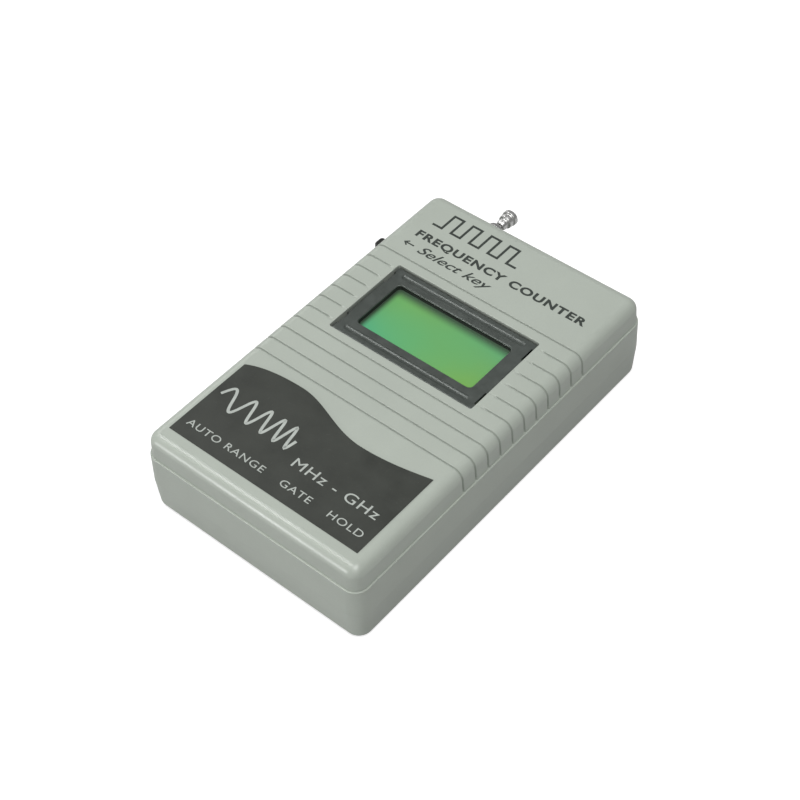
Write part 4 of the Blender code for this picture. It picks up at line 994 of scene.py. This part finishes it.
def build_bezel():
    """The pressed frame: bent edges, two long channels, a rolled opening, four corner notches."""
    half = (
        (BEZEL_HIGH.x - BEZEL_LOW.x) / 2 + BEZEL_GROWTH[0],
        (BEZEL_HIGH.y - BEZEL_LOW.y) / 2 + BEZEL_GROWTH[1],
    )
    face = BEZEL_HIGH.z
    levels = [(BEZEL_LOW.z, 0.0), *round_up(face, BEZEL_EDGE, 0.0, 5)]
    bezel = add_mesh("display_frame", block(levels, half, BEZEL_CORNER, WINDOW_CENTRE, 5))
    ceiling = round_up(face - BEZEL_SHEET, BEZEL_INNER_EDGE, BEZEL_SHEET, 2)
    inside = [(BEZEL_LOW.z - MM, BEZEL_SHEET), *ceiling]
    carve(bezel, block(inside, half, BEZEL_INNER_CORNER, WINDOW_CENTRE, 4))
    edge = [(face + lift, inward) for lift, inward in VIEW_EDGE]
    opening = [(face - 2 * BEZEL_SHEET, 0.0), *edge, (face + MM, edge[-1][1])]
    carve(bezel, block(opening, VIEW_HALF, VIEW_CORNER, VIEW_CENTRE, 10))
    for end in (-1, 1):
        carve(bezel, channel_tool(CHANNEL_CENTRE.y + end * CHANNEL_OFFSET, face))
    for side in (-1, 1):
        for end in (-1, 1):
            middle = (WINDOW_CENTRE.x + side * half[0], WINDOW_CENTRE.y + end * NOTCH_Y)
            levels = [(BEZEL_LOW.z - MM, 0.0), (face + MM, 0.0)]
            carve(bezel, block(levels, NOTCH_HALF, NOTCH_CORNER, middle, 3))
    shade(bezel)
    add_piece(bezel, "case", MATERIALS["bezel_metal"], "bezel_metal", "display_bezel")


def channel_tool(y, face):
    """A long round-ended tool that presses a shallow channel into the face."""
    half_width = CHANNEL_HALF.y
    radius = (half_width**2 + CHANNEL_DEPTH**2) / (2 * CHANNEL_DEPTH)
    shoulder = CHANNEL_HALF.x - half_width
    angles = [math.pi / 2 * step / CHANNEL_STEPS for step in range(CHANNEL_STEPS + 1)]
    nose = [(radius * math.sin(a), shoulder + radius * math.cos(a)) for a in angles]
    nose[0] = (0.0, shoulder + radius)
    tail = [(reach, -height) for reach, height in reversed(nose)]
    tool = lathe([*nose, *tail], 4 * CHANNEL_STEPS)
    place = Matrix.Translation((CHANNEL_CENTRE.x, y, face - CHANNEL_DEPTH + radius))
    tool.transform(place @ Matrix.Rotation(math.pi / 2, 4, "Y"))
    return tool


def build_cell():
    """The display cell: a black mask round the lit face, which lies a little below it."""
    half = ((GLASS_HIGH.x - GLASS_LOW.x) / 2, (GLASS_HIGH.y - GLASS_LOW.y) / 2)
    deep = GLASS_HIGH.z - CELL_DEPTH
    levels = [(deep, 0.0), (GLASS_HIGH.z, 0.0)]
    mask = add_mesh("display_mask", block(levels, half, CELL_CORNER, VIEW_CENTRE, 3))
    levels = [(deep - MM, 0.0), (GLASS_HIGH.z + MM, 0.0)]
    carve(mask, block(levels, VIEW_HALF, VIEW_CORNER, VIEW_CENTRE, 10))
    shade(mask)
    add_piece(mask, "case", MATERIALS["black_plastic"], "display_glass")
    levels = round_down(GLASS_LOW.z, CELL_EDGE, 0.0, 2) + round_up(deep, CELL_EDGE, 0.0, 2)
    cell = add_mesh("display_cell", block(levels, half, CELL_CORNER, VIEW_CENTRE, 4))
    shade(cell)
    add_piece(cell, "case", MATERIALS["display_glass"], "display_glass", "display_glass")


# ---- whip ----
KNOB_CAP = ((1.3 * MM, 0.0), (2.0 * MM, 0.12 * MM), (2.35 * MM, 0.5 * MM))
KNOB_STEPS = (
    (2.35 * MM, 0.73),
    (2.2 * MM, 0.70),
    (1.85 * MM, 0.685),
    (1.85 * MM, 0.635),
    (2.1 * MM, 0.61),
    (2.05 * MM, 0.40),
    (1.9 * MM, 0.375),
    (1.45 * MM, 0.355),
    (1.45 * MM, 0.285),
    (1.6 * MM, 0.26),
    (1.55 * MM, 0.12),
    (1.3 * MM, 0.0),
)
KNOB_BORE = 0.7 * MM
KNOB_BORE_SHARE = 0.55
KNOB_EDGE = 0.06 * MM
BUSHING_BORE = 1.9 * MM
BUSHING_SLEEVE = 2.15 * MM
BUSHING_FLANGE = 2.6 * MM
BUSHING_MOUTH = ((2.2 * MM, 0.1 * MM), (2.45 * MM, 0.45 * MM), (2.58 * MM, 0.9 * MM))
BUSHING_MOUTH_EDGE = 0.15 * MM
BUSHING_SEAT_GAP = 0.15 * MM
BUSHING_EDGE = 0.05 * MM
TUBE_WALL = 0.25 * MM
TUBE_ROLL = (0.06 * MM, 0.12 * MM)
TUBE_ROLL_DEPTH = (0.3 * MM, 0.2 * MM)
TUBE_BODIES = {
    "whip_base_tube": "case",
    "whip_middle_tube": "whip_middle_section",
    "whip_slim_tube": "whip_slim_section",
}
TURNED_STEPS = 64


def along_y(y):
    """Places a turned piece's local +Z along +Y on the whip's axis, from y."""
    return Matrix.Translation((WHIP_X, y, WHIP_Z)) @ Matrix.Rotation(-math.pi / 2, 4, "X")


def build_knob():
    """The whip's turned tip: a cap, two waists and a collar, bored for the rod."""
    length = KNOB_HIGH.y - KNOB_LOW.y
    bore_end = length * KNOB_BORE_SHARE
    profile = [
        (0.0, length),
        *[(radius, length - down) for radius, down in KNOB_CAP],
        *[(radius, length * share) for radius, share in KNOB_STEPS],
        (KNOB_BORE, 0.0),
        (KNOB_BORE, bore_end),
        (0.0, bore_end),
    ]
    knob = add_mesh("knob_turning", lathe(profile, TURNED_STEPS), along_y(KNOB_LOW.y))
    soften(knob, KNOB_EDGE, 25)
    shade(knob, 50)
    add_piece(knob, "whip_tip", MATERIALS["chrome"], "chrome", "whip_knob")


def build_bushing():
    """The sleeve in the far wall, with its rounded flange outside."""
    low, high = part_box("whip_bushing")
    length = high.y - low.y
    seat = BACK + BUSHING_SEAT_GAP - low.y
    profile = [
        (BUSHING_BORE, length),
        (BUSHING_BORE + BUSHING_MOUTH_EDGE, length),
        *[(radius, length - down) for radius, down in BUSHING_MOUTH],
        (BUSHING_FLANGE, seat),
        (BUSHING_SLEEVE, seat),
        (BUSHING_SLEEVE, 0.0),
        (BUSHING_BORE, 0.0),
    ]
    bushing = add_mesh("bushing_turning", lathe(profile, TURNED_STEPS), along_y(low.y))
    soften(bushing, BUSHING_EDGE, 25)
    shade(bushing, 50)
    add_piece(bushing, "case", MATERIALS["chrome"], "chrome", "whip_bushing")


def build_tubes():
    """The telescopic tubes, each with its mouth rolled in towards the next one."""
    for node, body in TUBE_BODIES.items():
        low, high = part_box(node)
        outer = (high.x - low.x) / 2
        inner = outer - TUBE_WALL
        length = high.y - low.y
        profile = [
            (inner - TUBE_ROLL[0], length),
            (outer - TUBE_ROLL[1], length),
            (outer, length - TUBE_ROLL_DEPTH[1]),
            (outer, 0.0),
            (inner, 0.0),
            (inner, length - TUBE_ROLL_DEPTH[0]),
        ]
        tube = add_mesh(f"{node}_drawn", lathe(profile), along_y(low.y))
        shade(tube, 50)
        add_piece(tube, body, MATERIALS["chrome"], "chrome", node)


# ---- key ----
LEVER_EDGE = 0.5 * MM
LEVER_CORNER = 1.1 * MM
RIDGE_COUNT = 3
RIDGE_START = 0.9
RIDGE_PITCH = 0.55
RIDGE_RADIUS = 0.14 * MM
RIDGE_LENGTH = 6.0 * MM
PIN_INSET = 0.9 * MM
PIN_HOLE = 0.65 * MM
FORK_HALF = 0.5 * MM
FORK_REACH = (1.4 * MM, 2.0 * MM)
FORK_WIDTH = 4.0 * MM


def build_lever():
    """The key's lever: a soft rounded bar with grip ridges across its tip, forked at its pin."""
    middle = ((LEVER_LOW.x + LEVER_HIGH.x) / 2, KEY_Y)
    half = ((LEVER_HIGH.x - LEVER_LOW.x) / 2, (LEVER_HIGH.y - LEVER_LOW.y) / 2)
    levels = [
        *round_down(LEVER_LOW.z, LEVER_EDGE, 0.0, 6),
        *round_up(LEVER_HIGH.z, LEVER_EDGE, 0.0, 6),
    ]
    lever = add_mesh("key_cap", block(levels, half, LEVER_CORNER, middle, 10))
    lying = Matrix.Rotation(math.pi / 2, 4, "X")
    for index in range(RIDGE_COUNT):
        x = LEVER_LOW.x + (RIDGE_START + RIDGE_PITCH * index) * MM
        valley = bmesh.new()
        bmesh.ops.create_cone(
            valley, cap_ends=True, segments=20, radius1=RIDGE_RADIUS, radius2=RIDGE_RADIUS,
            depth=RIDGE_LENGTH, matrix=Matrix.Translation((x, KEY_Y, LEVER_HIGH.z)) @ lying,
        )
        carve(lever, valley)
    pivot_x = LEVER_HIGH.x - PIN_INSET
    low = (pivot_x - FORK_REACH[0], KEY_Y - FORK_WIDTH, KEY_Z - FORK_HALF)
    high = (pivot_x + FORK_REACH[1], KEY_Y + FORK_WIDTH, KEY_Z + FORK_HALF)
    carve(lever, bar(low, high))
    pin = tubes([(pivot_x, KEY_Y)], PIN_HOLE, LEVER_LOW.z - MM, LEVER_HIGH.z + MM)
    carve(lever, pin)
    shade(lever)
    add_piece(lever, "key_lever", MATERIALS["black_plastic"], "black_plastic", "key_lever")


# ---- fasteners ----
# Shares of the head's radius, and for the crown of its height as well.
HEAD_SHARE = 0.75
HEAD_CROWN = ((0.55, 0.0), (0.82, 0.12), (0.97, 0.42), (1.0, 0.7), (1.0, 1.0))
THREAD_PITCH = 0.75
THREAD_ROOT = 0.78
RECESS_HALF = (0.62, 0.13)
RECESS_DEPTH = 0.7
RECESS_TURN = 0.4


def screw_head(name, node, upward):
    """A pan-head screw with a cross recess, threaded down its shank."""
    low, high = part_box(node)
    radius = (high.x - low.x) / 2
    length = high.z - low.z
    slim = radius / 2
    head = radius * HEAD_SHARE
    crown = [(radius * out, head * up) for out, up in HEAD_CROWN]
    profile = [(0.0, 0.0), *crown, (slim, head)]
    pitch = slim * THREAD_PITCH
    root = slim * THREAD_ROOT
    turns = int((length - head - slim) / pitch)
    for index in range(turns):
        start = head + pitch * index
        profile += [
            (root, start + pitch * 0.25),
            (root, start + pitch * 0.45),
            (slim, start + pitch * 0.85),
        ]
    profile += [(slim * 0.3, length), (0.0, length)]
    screw = add_mesh(name, lathe(profile, 32))
    long, wide = (radius * share for share in RECESS_HALF)
    for turn in (0, math.pi / 2):
        wing = bar((-long, -wide, -MM), (long, wide, head * RECESS_DEPTH))
        wing.transform(Matrix.Rotation(turn + RECESS_TURN, 4, "Z"))
        carve(screw, wing)
    centre = Vector(((low.x + high.x) / 2, (low.y + high.y) / 2, low.z if upward else high.z))
    flip = Matrix() if upward else Matrix.Rotation(math.pi, 4, "X")
    screw.data.transform(Matrix.Translation(centre) @ flip)
    shade(screw, 30)
    add_piece(screw, "case", MATERIALS["steel"], "steel", node)


def build_screws():
    """Case and display screws go in from below, board screws from above."""
    for number in range(1, 5):
        screw_head(f"case_fastener_{number}", f"case_screw_{number}", True)
        screw_head(f"display_fastener_{number}", f"display_screw_{number}", True)
        screw_head(f"board_fastener_{number}", f"board_screw_{number}", False)


# ---- pieces that keep their CAD shape ----
WELD_DISTANCE = 1e-6
CAD_EDGE = 0.12 * MM


def refine_cad():
    """Every CAD node still shown: its slot's material, softened edges and clean shading."""
    slots = {entry["node"]: entry["material_slot"] for entry in frame["record"]["subparts"]}
    for node, obj in frame["nodes"].items():
        if obj.hide_render:
            continue
        name = slots[node]
        obj.data.materials.clear()
        obj.data.materials.append(MATERIALS[name])
        weld = obj.modifiers.new("weld", "WELD")
        weld.merge_threshold = WELD_DISTANCE
        if "lead" in node:
            smooth = obj.modifiers.new("smooth", "SUBSURF")
            smooth.levels = 2
            smooth.render_levels = 2
            obj.data.shade_smooth()
            continue
        flatten = obj.modifiers.new("flatten", "DECIMATE")
        flatten.decimate_type = "DISSOLVE"
        flatten.angle_limit = math.radians(1)
        soften(obj, CAD_EDGE, 40)
        shade(obj, 40)


# ---- stage ----
FLOOR_REACH = 3.0
FLOOR_THICKNESS = 0.02
PAPER_GLOW = 0.66
WORLD_STRENGTH = 0.12
# name, place, diameter (m), power (W)
LIGHTS = (
    ("top_light", (0.42, -0.15, 1.55), 1.0, 16.0),
    ("key_light", (-0.75, -0.15, 1.45), 0.6, 8.2),
    ("left_light", (-1.50, 0.50, 0.90), 0.9, 5.0),
    ("low_light", (-0.70, -1.41, 0.22), 0.3, 7.0),
    ("front_light", (0.80, -0.80, 1.20), 0.9, 4.0),
)
CAMERA_AZIMUTH = math.radians(41.917)
CAMERA_ELEVATION = math.radians(48.338)
CAMERA_ROLL = math.radians(-2.588)
CAMERA_AIM = Vector((-0.05 * MM, -0.70 * MM, 13.0 * MM))
CAMERA_DISTANCE = 447.55 * MM
CAMERA_LENS = 77.43
CAMERA_SENSOR = 36.0


def area_light(name, place, size, power):
    """A round lamp that faces the object."""
    data = bpy.data.lights.new(name, "AREA")
    data.shape = "DISK"
    data.size = size
    data.energy = power
    light = bpy.data.objects.new(name, data)
    light.location = place
    light.rotation_mode = "QUATERNION"
    light.rotation_quaternion = (-Vector(place)).to_track_quat("-Z", "Y")
    bpy.context.scene.collection.objects.link(light)


def paper():
    """White paper that glows a little to the camera only, so its shadows stay pale."""
    nodes = Nodes("paper")
    cloud = nodes.spread(nodes.noise(5.0, 4.0, 0.6), 0, 1)
    base = nodes.blend(cloud, (0.49, 0.49, 0.49), (0.51, 0.51, 0.51))
    seen = nodes.add("ShaderNodeLightPath").outputs["Is Camera Ray"]
    glow = nodes.math("MULTIPLY", seen, PAPER_GLOW)
    white = (1.0, 1.0, 1.0, 1.0)
    return nodes.feed(
        Base_Color=base, Roughness=0.8, Emission_Color=white, Emission_Strength=glow
    )


def build_stage():
    """The floor, the lamps and an even, dim sky."""
    low = (-FLOOR_REACH, -FLOOR_REACH, -FLOOR_THICKNESS)
    floor = add_mesh("floor", bar(low, (FLOOR_REACH, FLOOR_REACH, 0.0)))
    floor.data.materials.append(paper())
    for light in LIGHTS:
        area_light(*light)
    world = bpy.data.worlds.new("studio")
    world.use_nodes = True
    background = world.node_tree.nodes["Background"]
    background.inputs["Color"].default_value = (1.0, 1.0, 1.0, 1.0)
    background.inputs["Strength"].default_value = WORLD_STRENGTH
    bpy.context.scene.world = world
    bpy.context.scene.view_settings.view_transform = "Standard"


def build_camera():
    """The camera looks down at the near right corner, rolled a little."""
    back = Vector(
        (
            math.sin(CAMERA_AZIMUTH) * math.cos(CAMERA_ELEVATION),
            -math.cos(CAMERA_AZIMUTH) * math.cos(CAMERA_ELEVATION),
            math.sin(CAMERA_ELEVATION),
        )
    )
    data = bpy.data.cameras.new("camera")
    data.lens = CAMERA_LENS
    data.sensor_width = CAMERA_SENSOR
    data.clip_start = 0.01
    camera = bpy.data.objects.new("camera", data)
    camera.location = CAMERA_AIM + back * CAMERA_DISTANCE
    facing = (-back).to_track_quat("-Z", "Y").to_matrix()
    turned = facing @ Matrix.Rotation(CAMERA_ROLL, 3, "Z")
    camera.rotation_euler = turned.to_euler()
    bpy.context.scene.collection.objects.link(camera)
    bpy.context.scene.camera = camera


build_camera()
build_stage()
build_upper_shell()
build_lower_shell()
build_door()
build_label()
build_print()
build_bezel()
build_cell()
build_knob()
build_bushing()
build_tubes()
build_lever()
build_screws()
refine_cad()
